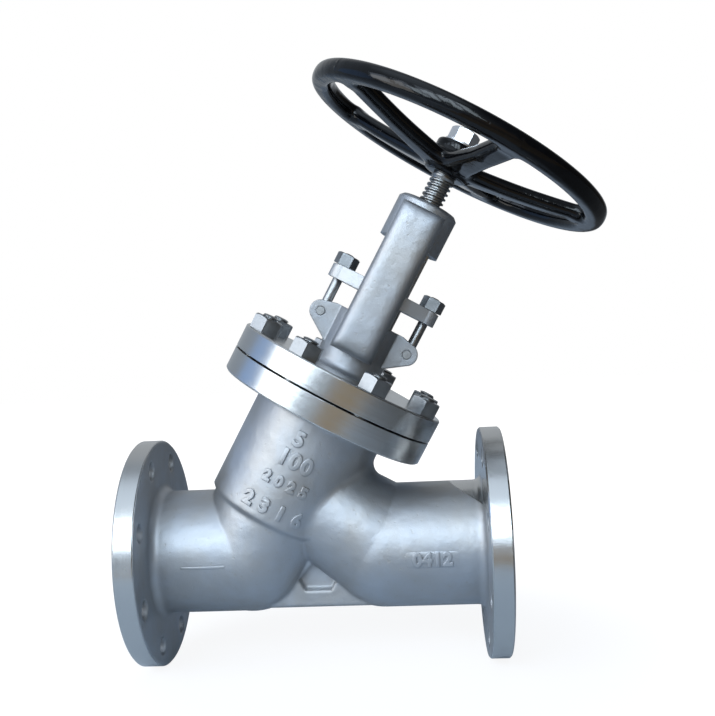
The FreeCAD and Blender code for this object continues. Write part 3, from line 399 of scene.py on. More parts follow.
def opaque(color):
    return tuple(color) + (1.0,)


def machined_zones(nodes, zones):
    """A mask of the turned surfaces and the (along, radius) that their marks follow.

    A zone is (place group, lowest along, highest along, least radius): the mask is 1 where a point lies
    between the two heights along that line and at least that far from it.
    """
    mask = None
    for group, low, high, least in zones:
        place = nodes.group(group)
        soft = 0.15 * MM
        inside = nodes.maths("MULTIPLY", nodes.step(place["Along"], low - soft, low + soft),
                             nodes.step(place["Along"], high - soft, high + soft, 1.0, 0.0))
        inside = nodes.maths("MULTIPLY", inside, nodes.step(place["Radius"], least - soft, least + soft))
        mask = inside if mask is None else nodes.maths("MAXIMUM", mask, inside)
    return mask


def make_cast_metal(name, zones, looks, soften, foot_shaded=None):
    """Blasted stainless casting, with the turned surfaces inside the zones left bright, and painted shade at the foot
    of the given span along the stem.
    """
    material, nodes, shader = new_material(name)
    cast = nodes.group("blasted_casting", {"Grain": 1.0, "Wave": 1.0, "Pits": 1.0})
    warm = opaque([c * t for c, t in zip(looks.cast_color, (0.93, 0.87, 0.80))])
    color = nodes.mix(cast["Tone"], warm, opaque(looks.cast_color))
    # painted shade: the colour turns darker and blue-grey at the foot of the span along the stem, and clears towards
    # its top
    if foot_shaded:
        along = nodes.group("about_stem_line")["Along"]
        foot = nodes.step(along, foot_shaded[0] - 3 * MM, foot_shaded[0] + 3 * MM, 1.0, 0.0)
        unshaded = nodes.maths("MAXIMUM", foot, nodes.step(along, foot_shaded[0], foot_shaded[1]))
        color = nodes.mix(unshaded, nodes.mix(looks.foot_shade, color, (0.10, 0.11, 0.13, 1)), color)
    rough = nodes.blend(cast["Roughness"], looks.cast_roughness - 0.07, looks.cast_roughness + 0.09)
    height = cast["Height"]
    if zones:
        mask = machined_zones(nodes, zones)
        soften = nodes.blend(mask, soften, 0.6 * MM)
        marks = []
        for kind in sorted({zone[0] for zone in zones}):
            place = nodes.group(kind)
            marks.append(nodes.group("turning_marks", {"Along": place["Along"], "Radius": place["Radius"],
                                                       "Spacing": 0.5 * MM}))
        turned_height = marks[0]["Height"]
        turned_rough = marks[0]["Roughness"]
        if len(marks) > 1:
            near_stem = nodes.step(nodes.group("about_stem_line")["Along"], 0.12, 0.121)
            turned_height = nodes.blend(near_stem, turned_height, marks[1]["Height"])
            turned_rough = nodes.blend(near_stem, turned_rough, marks[1]["Roughness"])
        bright = nodes.blend(turned_rough, looks.turned_roughness - 0.07, looks.turned_roughness + 0.08)
        rough = nodes.blend(mask, rough, bright)
        height = nodes.blend(mask, height, nodes.maths("MULTIPLY", turned_height, 0.16))
        color = nodes.mix(mask, color, opaque(looks.turned_color))
    wire(nodes, shader, Base_Color=color, Metallic=1.0, Roughness=rough,
         Normal=bumped(nodes, height, 0.5 * MM, soften=soften))
    return material


def make_bright_metal(name, color, roughness, scratches=0.6):
    """Turned or rolled metal with smears and fine scratches."""
    material, nodes, shader = new_material(name)
    marks = nodes.group("handling_marks", {"Scratches": scratches})
    dull = opaque([c * 0.8 for c in color])
    tone = nodes.mix(marks["Tone"], dull, opaque(color))
    rough = nodes.blend(marks["Roughness"], roughness - 0.08, roughness + 0.16)
    wire(nodes, shader, Base_Color=tone, Metallic=1.0, Roughness=rough,
         Normal=bumped(nodes, marks["Height"], 0.06 * MM))
    return material


def make_enamel(looks):
    """Thick glossy black enamel over a sand casting: the casting's waves show in the reflections."""
    material, nodes, shader = new_material("black_enamel")
    cast = nodes.group("blasted_casting", {"Grain": 0.25, "Wave": 1.0, "Pits": 0.6})
    marks = nodes.group("handling_marks", {"Scratches": 0.2})
    color = nodes.mix(marks["Tone"], opaque(looks.enamel_color), opaque([c * 1.7 for c in looks.enamel_color]))
    rough = nodes.blend(marks["Roughness"], 0.04, 0.14)
    wire(nodes, shader, Base_Color=color, Metallic=0.0, Roughness=rough, Specular_IOR_Level=0.28,
         Normal=bumped(nodes, cast["Height"], 0.35 * MM))
    return material


def make_graphite(name, color, layered):
    """Pressed graphite: near black, with the soft sheen of its flakes, in thin layers where asked."""
    material, nodes, shader = new_material(name)
    place = nodes.group("about_stem_line")
    flakes = nodes.noise(nodes.place(), 900, 3, 0.6)
    layers = nodes.noise(nodes.add("ShaderNodeCombineXYZ", {0: nodes.maths("MULTIPLY", place["Along"], 2600)}).outputs[0],
                         1.0, 2, 0.5)
    height = nodes.blend(layered, flakes, layers)
    tone = nodes.mix(nodes.step(flakes, 0.35, 0.65), opaque(color), opaque([c * 2.2 for c in color]))
    wire(nodes, shader, Base_Color=tone, Metallic=0.0, Roughness=nodes.blend(flakes, 0.42, 0.7),
         Normal=bumped(nodes, height, 0.15 * MM))
    return material


# Shapes of this valve's own pieces


def quarter(center_r, center_h, radius, start, stop, steps=5):
    """Profile points on an arc, as (r, h), from one turn to another in degrees."""
    turns = np.radians(np.linspace(start, stop, steps))
    return [(center_r + radius * math.cos(t), center_h + radius * math.sin(t)) for t in turns]


def smooth_step(value, low, high):
    t = np.clip((value - low) / (high - low), 0, 1)
    return t * t * (3 - 2 * t)


def smooth_least(values, softness):
    """The least of some arrays with its corners rounded: -s log(sum of exp(-v / s))."""
    lowest = np.min(values, axis=0)
    return lowest - softness * np.log(sum(np.exp(-(v - lowest) / softness) for v in values))


def spoke_half_width(along, sizes):
    """Half the spoke's width: it narrows smoothly from its root to its waist and then stays."""
    root = sizes.spoke_root_w / 2
    waist = sizes.spoke_w / 2
    return root + (waist - root) * smooth_step(along, sizes.hub_r * 0.6, sizes.spoke_waist_at)


def window_depth(x, y, sizes):
    """How deep a point lies inside the gap between two spokes, below 0 in the metal. x runs along the gap's middle."""
    half_step = math.pi / sizes.spokes
    sin_half = math.sin(half_step)
    cos_half = math.cos(half_step)
    sides = []
    for sign in (1, -1):
        from_middle = x * sin_half - sign * y * cos_half
        along = x * cos_half + sign * y * sin_half
        sides.append(from_middle - spoke_half_width(along, sizes))
    from_rim = sizes.wheel_r - sizes.rim_w - np.hypot(x, y)
    return smooth_least(sides + [from_rim], sizes.window_round)


def wheel_cell(sizes):
    """The wheel round one gap between spokes, from the gap's edge to the spokes' middles, the rim's outside and the hub.

    Rays leave a point in the gap. Along each, the surface runs from the gap's edge, where the window depth
    is 0, to the cell's edge. Above and below the middle surface m(r) it stands at
    m(r) +- T(r) (1 - (1 - d / c)^n)^(1 / n), with d the distance from the nearest edge, c the rounding
    and T half the thickness, so every edge is rounded and the two sides meet.
    """
    half_step = math.pi / sizes.spokes
    start_x = 0.6 * sizes.wheel_r
    hub_reach = sizes.hub_r - 1.5 * MM
    outer = np.array([math.cos(half_step), math.sin(half_step)]) * sizes.wheel_r
    inner = np.array([math.cos(half_step), math.sin(half_step)]) * hub_reach
    counts = (72, 54, 16, 54)
    # along a spoke's middle line the points crowd towards the rim, where the section turns fastest
    inward = 1 - np.cos(np.linspace(0, math.pi / 2, counts[1] + 1))
    along = sizes.wheel_r + (hub_reach - sizes.wheel_r) * inward
    spoke_turns = np.arctan2(along * math.sin(half_step), along * math.cos(half_step) - start_x)
    rim_turns = np.linspace(-spoke_turns[0], spoke_turns[0], counts[0], endpoint=False)
    hub_turns = np.linspace(spoke_turns[-1], TAU - spoke_turns[-1], counts[2], endpoint=False)
    turns = np.concatenate([rim_turns, spoke_turns[:-1], hub_turns, TAU - spoke_turns[:0:-1]])
    part = np.repeat(np.arange(4), counts)
    direction = np.stack([np.cos(turns), np.sin(turns)], axis=-1)

    # where each ray meets the cell's edge: the outer circle, a spoke's middle line or the hub's circle
    def circle_hit(radius, side):
        toward = start_x * direction[:, 0]
        root = np.sqrt(np.maximum(toward ** 2 - start_x ** 2 + radius ** 2, 0))
        return -toward + side * root

    far_hit = circle_hit(sizes.wheel_r, 1)
    hub_hit = circle_hit(hub_reach, -1)
    sign = np.where(part == 1, 1, -1)
    line_hit = start_x * math.sin(half_step) / (
        sign * direction[:, 1] * math.cos(half_step) - direction[:, 0] * math.sin(half_step) + 1e-12)
    reach = np.where(part == 0, far_hit, np.where(part == 2, hub_hit, line_hit))
    # the corners belong to two spans
    reach[counts[0]] = math.hypot(outer[0] - start_x, outer[1])
    reach[0] = reach[counts[0]]
    corner = counts[0] + counts[1]
    reach[corner] = math.hypot(inner[0] - start_x, inner[1])
    reach[corner + counts[2]] = reach[corner]

    near = np.zeros(len(turns))
    far = reach.copy()
    for _ in range(50):
        middle = (near + far) / 2
        depth = window_depth(start_x + middle * direction[:, 0], middle * direction[:, 1], sizes)
        near = np.where(depth > 0, middle, near)
        far = np.where(depth > 0, far, middle)
    edge = (near + far) / 2

    share = 0.5 - 0.5 * np.cos(np.linspace(0, math.pi, 23))
    ray = edge[:, None] + (reach - edge)[:, None] * share[None, :]
    x = start_x + ray * direction[:, :1]
    y = ray * direction[:, 1:]
    radius = np.hypot(x, y)
    from_gap = np.maximum(-window_depth(x, y, sizes), 0)
    from_gap[:, 0] = 0
    from_outside = np.maximum(sizes.wheel_r - radius, 0)
    from_outside[part == 0, -1] = 0
    from_outside[[0, counts[0]], -1] = 0
    distance = np.minimum(from_gap, from_outside)
    power = 2.3
    share_in = 1 - np.clip(distance / sizes.rim_round, 0, 1)
    rounding = np.clip(1 - share_in ** power, 0, 1) ** (1 / power)

    t = (radius - sizes.hub_r * 0.9) / (sizes.wheel_r - sizes.rim_w - sizes.hub_r * 0.9)
    t = np.clip(t, 0, 1)
    drop = sizes.wheel_h - sizes.spoke_root_h
    middle = -drop + drop * (0.68 * t + 0.32 * t * t)
    half = sizes.spoke_t / 2 + (sizes.rim_t - sizes.spoke_t) / 2 * smooth_step(
        radius, sizes.wheel_r - sizes.rim_w - 13 * MM, sizes.wheel_r - sizes.rim_w)
    hub_top_round = 7 * MM
    hub_foot_round = 3 * MM
    swell = np.clip(1 - (radius - sizes.hub_r) / hub_top_round, 0, 1)
    lift = hub_top_round * (1 - np.sqrt(np.clip(1 - swell ** 2, 0, 1)))
    swell = np.clip(1 - (radius - sizes.hub_r) / hub_foot_round, 0, 1)
    sink = hub_foot_round * (1 - np.sqrt(np.clip(1 - swell ** 2, 0, 1)))
    top = middle + (half + lift) * rounding
    foot = middle - (half + sink) * rounding
    top[:, 0] = foot[:, 0] = middle[:, 0]
    top_points = np.stack([x, y, top], axis=-1)
    foot_points = np.stack([x, y, foot], axis=-1)
    # the wall that closes the cell inside the hub
    wall = np.arange(corner, corner + counts[2] + 1)
    wall_points = np.stack([top_points[wall, -1], foot_points[wall, -1]], axis=1)
    return [(top_points, True, False), (foot_points, True, False), (wall_points, False, False)]


def turned_about_stem(points, angle):
    """Points (a, y, h) turned about the stem's line."""
    cos_t = math.cos(angle)
    sin_t = math.sin(angle)
    out = points.copy()
    out[..., 0] = points[..., 0] * cos_t - points[..., 1] * sin_t
    out[..., 1] = points[..., 0] * sin_t + points[..., 1] * cos_t
    return out


def wheel_grids(sizes):
    """All the wheel's cells, one for each gap between spokes, and its turned hub."""
    grids = []
    cell = wheel_cell(sizes)
    for gap in range(sizes.spokes):
        middle = sizes.spoke_turn + (gap + 0.5) * TAU / sizes.spokes
        for points, closed_rows, closed_columns in cell:
            placed = turned_about_stem(points, middle) + np.array([0, 0, sizes.wheel_h])
            grids.append((on_stem(placed), closed_rows, closed_columns))
    low = sizes.hub_low
    high = sizes.hub_high
    edge = 3.5 * MM
    bore = sizes.spindle_r + 0.02 * MM
    profile = [(bore, low + MM), (bore + MM, low), (sizes.hub_r - edge, low)]
    profile += quarter(sizes.hub_r - edge, low + edge, edge, -90, 0)[1:]
    profile += rows_between(low + edge, high - edge, sizes.hub_r, 4 * MM)[1:-1]
    profile += quarter(sizes.hub_r - edge, high - edge, edge, 0, 90)
    profile += [(bore + MM, high), (bore, high - MM), (bore, low + MM)]
    grids.append((on_stem(turned(profile, 96)), False, True))
    return grids


def moved(points, a=0.0, y=0.0, h=0.0):
    return points + np.array([a, y, h])


def stem_profile(sizes):
    """The stem from its button in the disc to its threaded end, as (r, h)."""
    r = sizes.stem_r
    low_r = sizes.stem_low_r
    button_low = sizes.button_low
    shoulder = sizes.stem_shoulder
    end_r = sizes.stem_end_r
    end = sizes.stem_end
    profile = [(0, button_low), (sizes.button_r, button_low), (sizes.button_r, button_low + 6 * MM),
               (low_r, button_low + 6 * MM), (low_r, shoulder - 12 * MM), (sizes.backseat_r, shoulder - 8 * MM),
               (sizes.backseat_r, shoulder - 4 * MM), (r, shoulder)]
    profile += rows_between(sizes.thread_low, sizes.thread_high, r, sizes.thread_pitch / 14)
    profile += [(r, sizes.hub_low - 1.6 * MM), (r - 0.6 * MM, sizes.hub_low - MM), (sizes.spindle_r, sizes.hub_low - MM),
                (sizes.spindle_r, sizes.hub_high - MM), (end_r, sizes.hub_high - MM)]
    profile += rows_between(sizes.hub_high, end - 1.6 * MM, end_r, 0.2 * MM)
    profile += [(end_r - 1.6 * MM, end), (0, end)]
    return profile


def stem_grid(sizes):
    """The stem as one turned surface. The wide thread climbs the yoke bush, the fine one takes the wheel's nut."""
    profile = stem_profile(sizes)
    steps = 72
    surface = turned(profile, steps, (sizes.thread_low, sizes.thread_high, sizes.thread_pitch, sizes.thread_depth))
    fine = turned(profile, steps, (sizes.hub_high, sizes.stem_end - MM, 2 * MM, 0.9 * MM))
    upper = np.array([h for _, h in profile]) > sizes.hub_high - 0.5 * MM
    surface[upper] = fine[upper]
    return on_stem(surface), False, True


def stud_grid(radius, low, high, pitch, depth, steps=36):
    """A stud with a rounded top and a thread near it, standing on the stem frame's own axis."""
    dome = 1.6 * MM
    profile = [(0, low), (radius - 0.8 * MM, low), (radius, low + 0.8 * MM)]
    thread_low = high - 26 * MM
    profile += [(radius, thread_low)] if thread_low > low + MM else []
    profile += rows_between(max(thread_low, low + MM), high - 1.2 * MM, radius, pitch / 8)[1:]
    profile += [(radius * 0.86, high - 0.55 * MM), (radius * 0.62, high - 0.12 * MM), (0, high)]
    return turned(profile, steps, (max(thread_low, low + MM), high - 0.4 * MM, pitch, depth))


def bolt_places(sizes):
    """(a, y) of the bonnet's studs, half a step from the lean's plane."""
    step = TAU / sizes.bolts
    turns = (np.arange(sizes.bolts) + 0.5) * step
    return [(sizes.stud_circle_r * math.cos(t), sizes.stud_circle_r * math.sin(t), t) for t in turns]


def eye_grids(sizes, side):
    """A swing bolt: an eye turned about the side line through its pin, and a threaded shank along h."""
    out = side * sizes.pin_out
    eye_half = sizes.eye_half
    eye_r = sizes.eye_r
    bore = sizes.pin_r + 0.05 * MM
    edge = 1.2 * MM
    profile = [(bore, -eye_half + 0.4 * MM), (bore + 0.4 * MM, -eye_half), (eye_r - edge, -eye_half)]
    profile += quarter(eye_r - edge, -eye_half + edge, edge, -90, 0)[1:]
    profile += quarter(eye_r - edge, eye_half - edge, edge, 0, 90)
    profile += [(bore + 0.4 * MM, eye_half), (bore, eye_half - 0.4 * MM), (bore, -eye_half + 0.4 * MM)]
    ring = turned(profile, 48)
    eye = np.stack([ring[..., 0] + out, ring[..., 2], ring[..., 1] + sizes.pin_h], axis=-1)
    shank = stud_grid(sizes.eyebolt_r, sizes.pin_h + eye_r * 0.6, sizes.eyebolt_top, 1.5 * MM, 0.8 * MM, 32)
    return [(on_stem(eye), False, True), (on_stem(moved(shank, a=out)), False, True)]


def cast_letters(name, text, height, angle, level, sizes, body="valve", about_pipe=None):
    """Raised cast numbers wrapped round a cylinder.

    A text is made a thick mesh with rounded edges. Its across distance s becomes the turn s / radius about
    the cylinder's line, its up distance the height along it, and its thickness the radius.
    """
    curve = bpy.data.curves.new(name, "FONT")
    curve.body = text
    curve.size = height * 1.42
    curve.align_x = "CENTER"
    curve.align_y = "CENTER"
    curve.extrude = sizes.mark_rise * 0.75
    curve.bevel_depth = sizes.mark_rise * 0.3
    curve.bevel_resolution = 2
    curve.offset = sizes.mark_bold
    curve.resolution_u = 5
    curve.space_character = 1.12
    source = bpy.data.objects.new(name + "_text", curve)
    bpy.context.scene.collection.objects.link(source)
    bpy.context.view_layer.update()
    mesh = bpy.data.meshes.new_from_object(source.evaluated_get(bpy.context.evaluated_depsgraph_get()))
    bpy.data.objects.remove(source)
    import bmesh
    work = bmesh.new()
    work.from_mesh(mesh)
    bmesh.ops.remove_doubles(work, verts=work.verts, dist=0.01 * MM)
    long_edges = [edge for edge in work.edges if edge.calc_length() > 3 * MM]
    bmesh.ops.subdivide_edges(work, edges=long_edges, cuts=2)
    work.to_mesh(mesh)
    work.free()
    flat = np.zeros(len(mesh.vertices) * 3)
    mesh.vertices.foreach_get("co", flat)
    flat = flat.reshape(-1, 3)
    if about_pipe:
        radius, x_middle = about_pipe
        turn = angle + flat[:, 1] / radius
        reach = radius + flat[:, 2]
        points = np.stack([x_middle + flat[:, 0], -reach * np.cos(turn), reach * np.sin(turn)], axis=-1)
    else:
        turn = angle + flat[:, 0] / sizes.neck_r
        reach = sizes.neck_r + flat[:, 2]
        points = on_stem(np.stack([reach * np.cos(turn), reach * np.sin(turn), level + flat[:, 1]], axis=-1))
    mesh.vertices.foreach_set("co", points.reshape(-1))
    return dressed(name, mesh, body, bpy.data.materials["cast_mark_metal"], crease=50)


def pad_grid(half_length, half_height, rise, radius, x_middle, angle, power=5.0):
    """A raised pad on a pipe: rise (1 - |u|^p)^(1/2) (1 - |v|^p)^(1/2) above the pipe, with its skirt just below it."""
    u = np.sin(np.linspace(-1, 1, 41) * math.pi / 2)[:, None]
    v = np.sin(np.linspace(-1, 1, 21) * math.pi / 2)[None, :]
    lift = np.sqrt((1 - np.abs(u) ** power) * (1 - np.abs(v) ** power))
    reach = radius - 0.4 * MM + (rise + 0.4 * MM) * lift
    turn = angle + v * half_height / radius
    x = x_middle + u * half_length + 0 * v
    top = np.stack([x, -reach * np.cos(turn), reach * np.sin(turn)], axis=-1)
    under = radius - 1.2 * MM + 0 * reach
    under = np.where(lift > 0, under, reach)
    foot = np.stack([x, -under * np.cos(turn), under * np.sin(turn)], axis=-1)
    return [(top, False, False), (foot, False, False)]


def crowned_arm(sizes, side):
    """The crowned outer face of a yoke arm, closed by a skirt inside the arm.

    Its rise over the skirt is R (1 - |u|^14)^(1/3) (1 - |v|^4)^(1/3), with u along the stem and v across the
    arm. It is never less than what covers the arm's flat face and its rounded edges.
    """
    u = np.sin(np.linspace(-1, 1, 81) * math.pi / 2)[:, None]
    v = np.sin(np.linspace(-1, 1, 41) * math.pi / 2)[None, :]
    half_width = sizes.arm_half + 0.9 * MM
    half_length = (sizes.arm_top - sizes.arm_low) / 2
    middle = (sizes.arm_top + sizes.arm_low) / 2
    root = sizes.arm_out - sizes.arm_crown_root
    rise = sizes.arm_crown_root + sizes.arm_crown
    across = v * half_width + 0 * u
    level = middle + u * half_length + 0 * v
    out = root + rise * np.cbrt(1 - np.abs(u) ** 14) * np.cbrt(1 - np.abs(v) ** 4)
    edge = sizes.arm_round
    from_side = np.clip(sizes.arm_half - np.abs(across), 0, edge)
    from_end = np.clip(half_length - 2.5 * MM - np.abs(level - middle), 0, edge)
    inside = (np.abs(across) < sizes.arm_half) & (np.abs(level - middle) < half_length - 2.5 * MM)
    least = np.minimum(from_side, from_end)
    covered = sizes.arm_out - edge + np.sqrt(edge ** 2 - (edge - least) ** 2) + 0.15 * MM
    out = np.where(inside, np.maximum(out, covered), out)
    top = np.stack([across, side * out, level], axis=-1)
    foot = np.stack([across * 0.9, side * (root + 0 * out), middle + (level - middle) * 0.97], axis=-1)
    skirts = []
    for pick in (np.s_[0, :], np.s_[-1, :], np.s_[:, 0], np.s_[:, -1]):
        skirts.append((on_stem(np.stack([top[pick], foot[pick]], axis=0)), False, False))
    return [(on_stem(top), False, False), (on_stem(foot), False, False)] + skirts


# What a user may change


def length(name, text, value):
    return FloatProperty(name=name, description=text, default=value, unit="LENGTH", precision=5)


def tint(name, text, value):
    return FloatVectorProperty(name=name, description=text, default=value, subtype="COLOR", min=0, max=1)


class ValveSizes(bpy.types.PropertyGroup):
    """Sizes of the pieces that are made here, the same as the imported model's."""

    neck_r: length("Neck radius", "Outside of the body's neck", 0.067)
    pipe_r: length("Pipe radius", "Outside of the body's two ends", 0.062)
    bolts: IntProperty(name="Bonnet bolts", description="Studs round the bonnet", default=8, min=3)
    stud_circle_r: length("Stud circle radius", "From the stem's line to a stud", 0.092)
    stud_r: length("Stud radius", "Outside of a stud's thread", 0.008)
    stud_low: length("Stud foot", "Height of the stud's lower end along the stem", 0.1596)
    stud_top: length("Stud top", "Height of the stud's upper end along the stem", 0.2214)
    bonnet_top: length("Bonnet flange top", "Height that the nuts stand on", 0.2038)
    stud_nut_r: length("Stud nut corner radius", "From a nut's middle to its corner", 0.0156)
    stud_nut_t: length("Stud nut height", "Height of a bonnet nut", 0.0145)
    pin_out: length("Pin distance", "From the stem's line to a swing bolt's pin", 0.0476)
    pin_h: length("Pin height", "Height of the swing bolts' pins along the stem", 0.247)
    pin_r: length("Pin radius", "Radius of the swing bolts' pins", 0.004)
    eye_r: length("Eye radius", "Outside of a swing bolt's eye", 0.0095)
    eye_half: length("Half eye width", "Half the width of a swing bolt's eye", 0.0055)
    eyebolt_r: length("Swing bolt radius", "Outside of a swing bolt's thread", 0.005)
    eyebolt_top: length("Swing bolt top", "Height of the swing bolt's end", 0.3093)
    gland_nut_r: length("Gland nut corner radius", "From the nut's middle to its corner", 0.0118)
    gland_nut_low: length("Gland nut foot", "Height that the gland nuts stand on", 0.2963)
    gland_nut_t: length("Gland nut height", "Height of a gland nut", 0.0118)
    arm_half: length("Half arm width", "Half the width of a yoke arm", 0.021)
    arm_out: length("Arm distance", "From the stem's line to a yoke arm's outer face", 0.051)
    arm_round: length("Arm rounding", "Rounding of the arms' outer edges", 0.007)
    arm_low: length("Arm foot", "Height where a crowned arm begins", 0.2225)
    arm_top: length("Arm top", "Height where a crowned arm ends", 0.3765)
    arm_crown: length("Arm crown", "How far an arm's middle stands out from its flat face", 0.0025)
    arm_crown_root: length("Arm crown root", "How deep the crown's edge lies in the arm", 0.011)
    stem_r: length("Stem radius", "Outside of the stem and of its wide thread", 0.012)
    stem_low_r: length("Lower stem radius", "The stem between its collar and its button", 0.011)
    stem_shoulder: length("Stem shoulder", "Height of the collar that backs on the bush", 0.1446)
    backseat_r: length("Collar radius", "Radius of the stem's collar", 0.0175)
    button_low: length("Button foot", "Height of the stem's lower end", 0.0568)
    button_r: length("Button radius", "Radius of the stem's button in the disc", 0.016)
    thread_low: length("Thread foot", "Where the wide thread begins", 0.300)
    thread_high: length("Thread end", "Where the wide thread ends", 0.4155)
    thread_pitch: length("Thread pitch", "Rise of the wide thread in each turn", 0.005)
    thread_depth: length("Thread depth", "Depth of the wide thread", 0.0024)
    spindle_r: length("Hub seat radius", "The stem inside the wheel's hub", 0.0105)
    stem_end_r: length("Stem end radius", "The stem inside the wheel's nut", 0.009)
    stem_end: length("Stem end", "Height of the stem's upper end", 0.467)
    wheel_r: length("Wheel radius", "Outside of the rim", 0.157)
    wheel_h: length("Rim height", "Height of the rim's middle along the stem", 0.4455)
    rim_w: length("Rim width", "Width of the rim's section", 0.020)
    rim_t: length("Rim thickness", "Thickness of the rim's section", 0.018)
    rim_round: length("Rim rounding", "How far in the rim's edges are rounded", 0.0075)
    hub_r: length("Hub radius", "Outside of the hub", 0.022)
    hub_low: length("Hub foot", "Height of the hub's lower face", 0.418)
    hub_high: length("Hub top", "Height of the hub's upper face", 0.450)
    spokes: IntProperty(name="Spokes", description="Number of spokes", default=5, min=3)
    spoke_turn: FloatProperty(name="First spoke", description="Turn of the first spoke from the lean's plane",
                              default=math.radians(1.7), subtype="ANGLE")
    spoke_root_w: length("Spoke root width", "Width of a spoke at the hub", 0.033)
    spoke_w: length("Spoke width", "Width of a spoke past its waist", 0.025)
    spoke_waist_at: length("Spoke waist", "Distance of the waist from the stem's line", 0.086)
    spoke_t: length("Spoke thickness", "Thickness of a spoke", 0.0145)
    spoke_root_h: length("Spoke root height", "Height of the spokes' middle at the hub", 0.429)
    window_round: length("Gap corner softness", "How far the corners of the gaps between spokes are rounded", 0.0042)
    wheel_nut_r: length("Wheel nut corner radius", "From the nut's middle to its corner", 0.015)
    wheel_nut_t: length("Wheel nut height", "Height of the wheel's nut", 0.013)
    wheel_washer_r: length("Wheel washer radius", "Outside of the washer", 0.016)
    wheel_washer_t: length("Wheel washer thickness", "Thickness of the washer", 0.0025)
    mark_rise: length("Cast mark height", "How far the cast numbers stand out", 0.0019)
    mark_bold: length("Cast mark weight", "How much the cast numbers' strokes are widened", 0.0007)


class ValveLooks(bpy.types.PropertyGroup):
    """Colours and finishes of the valve's metals and paint."""

    cast_color: tint("Casting", "Blasted stainless casting", (0.45, 0.48, 0.52))
    cast_roughness: FloatProperty(name="Casting roughness", description="Mean roughness of the casting", default=0.51)
    cast_soften: length("Casting edges", "How far the body's cast edges look rounded", 0.005)
    turned_color: tint("Turned steel", "Turned surfaces of the castings", (0.56, 0.565, 0.56))
    turned_roughness: FloatProperty(name="Turned roughness", description="Mean roughness of turned surfaces",
                                    default=0.24)
    steel_color: tint("Bright steel", "Studs, nuts, swing bolts and the stem", (0.42, 0.43, 0.435))
    # painted shade: the share by which the foot of the yoke is darkened towards a dark blue-grey
    foot_shade: bpy.props.FloatProperty(name="Foot shade", description="How far painted shade darkens the foot of the yoke", default=0.25)
    nut_color: tint("Nuts", "Duller steel of the nuts", (0.30, 0.315, 0.33))
    bronze_color: tint("Bronze", "Yoke bush and back seat", (0.62, 0.42, 0.20))
    enamel_color: tint("Handwheel enamel", "Glossy black enamel", (0.0018, 0.002, 0.0026))
    graphite_color: tint("Graphite", "Gasket and packing", (0.014, 0.014, 0.015))


class ValveView(bpy.types.PropertyGroup):
    """Camera and studio light, fitted to the photograph."""

    camera_place: FloatVectorProperty(name="Camera", description="Where the camera stands", unit="LENGTH",
                                      default=(0.287530, -0.928616, 0.200648))
    camera_yaw: FloatProperty(name="Yaw", description="Camera's turn about the upright", subtype="ANGLE",
                              default=math.radians(4.52))
    camera_pitch: FloatProperty(name="Pitch", description="Camera's tilt up", subtype="ANGLE",
                                default=math.radians(-4.30))
    camera_roll: FloatProperty(name="Roll", description="Camera's turn about its own line of sight", subtype="ANGLE",
                               default=math.radians(-2.851))
    focal_share: FloatProperty(name="Focal length", description="Focal length as a share of the picture's width",
                               default=929.661 / 715)
    shift_x: FloatProperty(name="Shift across", description="The picture's shift, as a share of its width",
                           default=(357.5 - 346.02) / 715)
    shift_y: FloatProperty(name="Shift up", description="The picture's shift, as a share of its width",
                           default=(417.103 - 358) / 715)
    key_power: FloatProperty(name="Key light", description="Window light from the left", default=9.0)
    top_power: FloatProperty(name="Front light", description="Window light from behind the camera", default=9.0)
    room_strength: FloatProperty(name="Room light", description="Strength of the light from all round", default=1.0)
    window_strength: FloatProperty(name="Windows", description="Brightness of the row of windows", default=2.6)
    window_step: FloatProperty(name="Window spacing", description="Degrees from one window to the next", default=22.0)


def sizes_of(context):
    return context.scene.valve_sizes


def looks_of(context):
    return context.scene.valve_looks


def clothe(node, material, slot_name=None):
    """Gives a CAD node its material."""
    mesh = frame["nodes"][node].data
    mesh.materials.clear()
    mesh.materials.append(material)


class ValveStep(bpy.types.Operator):
    """One step of dressing the valve"""

    bl_options = {"REGISTER", "UNDO"}


class VALVE_OT_finishes(ValveStep):
    """Makes the shader groups and the materials"""

    bl_idname = "valve.finishes"
    bl_label = "Metals and paint"

    def execute(self, context):
        looks = looks_of(context)
        make_place_groups()
        make_surface_groups()
        face = 0.0023
        end = 0.368
        body_zones = [("about_flow_line", -0.01, face, 0.0), ("about_flow_line", end - face, end + 0.01, 0.0),
                      ("about_flow_line", -0.01, 0.0243, 0.1137), ("about_flow_line", end - 0.0243, end + 0.01, 0.1137),
                      ("about_stem_line", 0.1545, 0.19, 0.1066), ("about_stem_line", 0.1782, 0.19, 0.03)]
        bonnet_zones = [("about_stem_line", 0.17, 0.21, 0.1066), ("about_stem_line", 0.2032, 0.2045, 0.0450),
                        ("about_stem_line", 0.3855, 0.39, 0.0)]
        make_cast_metal("body_metal", body_zones, looks, looks.cast_soften)
        # the bonnet gets painted shade from 0.225 to 0.40 along the stem, at the foot of its yoke arms
        make_cast_metal("bonnet_metal", bonnet_zones, looks, looks.cast_soften / 2, (0.225, 0.40))
        make_cast_metal("cast_mark_metal", [], looks, 0.5 * MM)
        make_cast_metal("gland_metal", [], looks, 1.5 * MM)
        make_bright_metal("bright_steel", tuple(looks.steel_color), 0.27)
        make_bright_metal("nut_steel", tuple(looks.nut_color), 0.33)
        make_bright_metal("worn_steel", tuple(c * 0.8 for c in looks.steel_color), 0.34, 1.0)
        make_bright_metal("bronze", tuple(looks.bronze_color), 0.32)
        make_enamel(looks)
        make_graphite("gasket_graphite", tuple(looks.graphite_color), 1.0)
        make_graphite("packing_graphite", tuple(c * 1.5 for c in looks.graphite_color), 0.0)
        return {"FINISHED"}


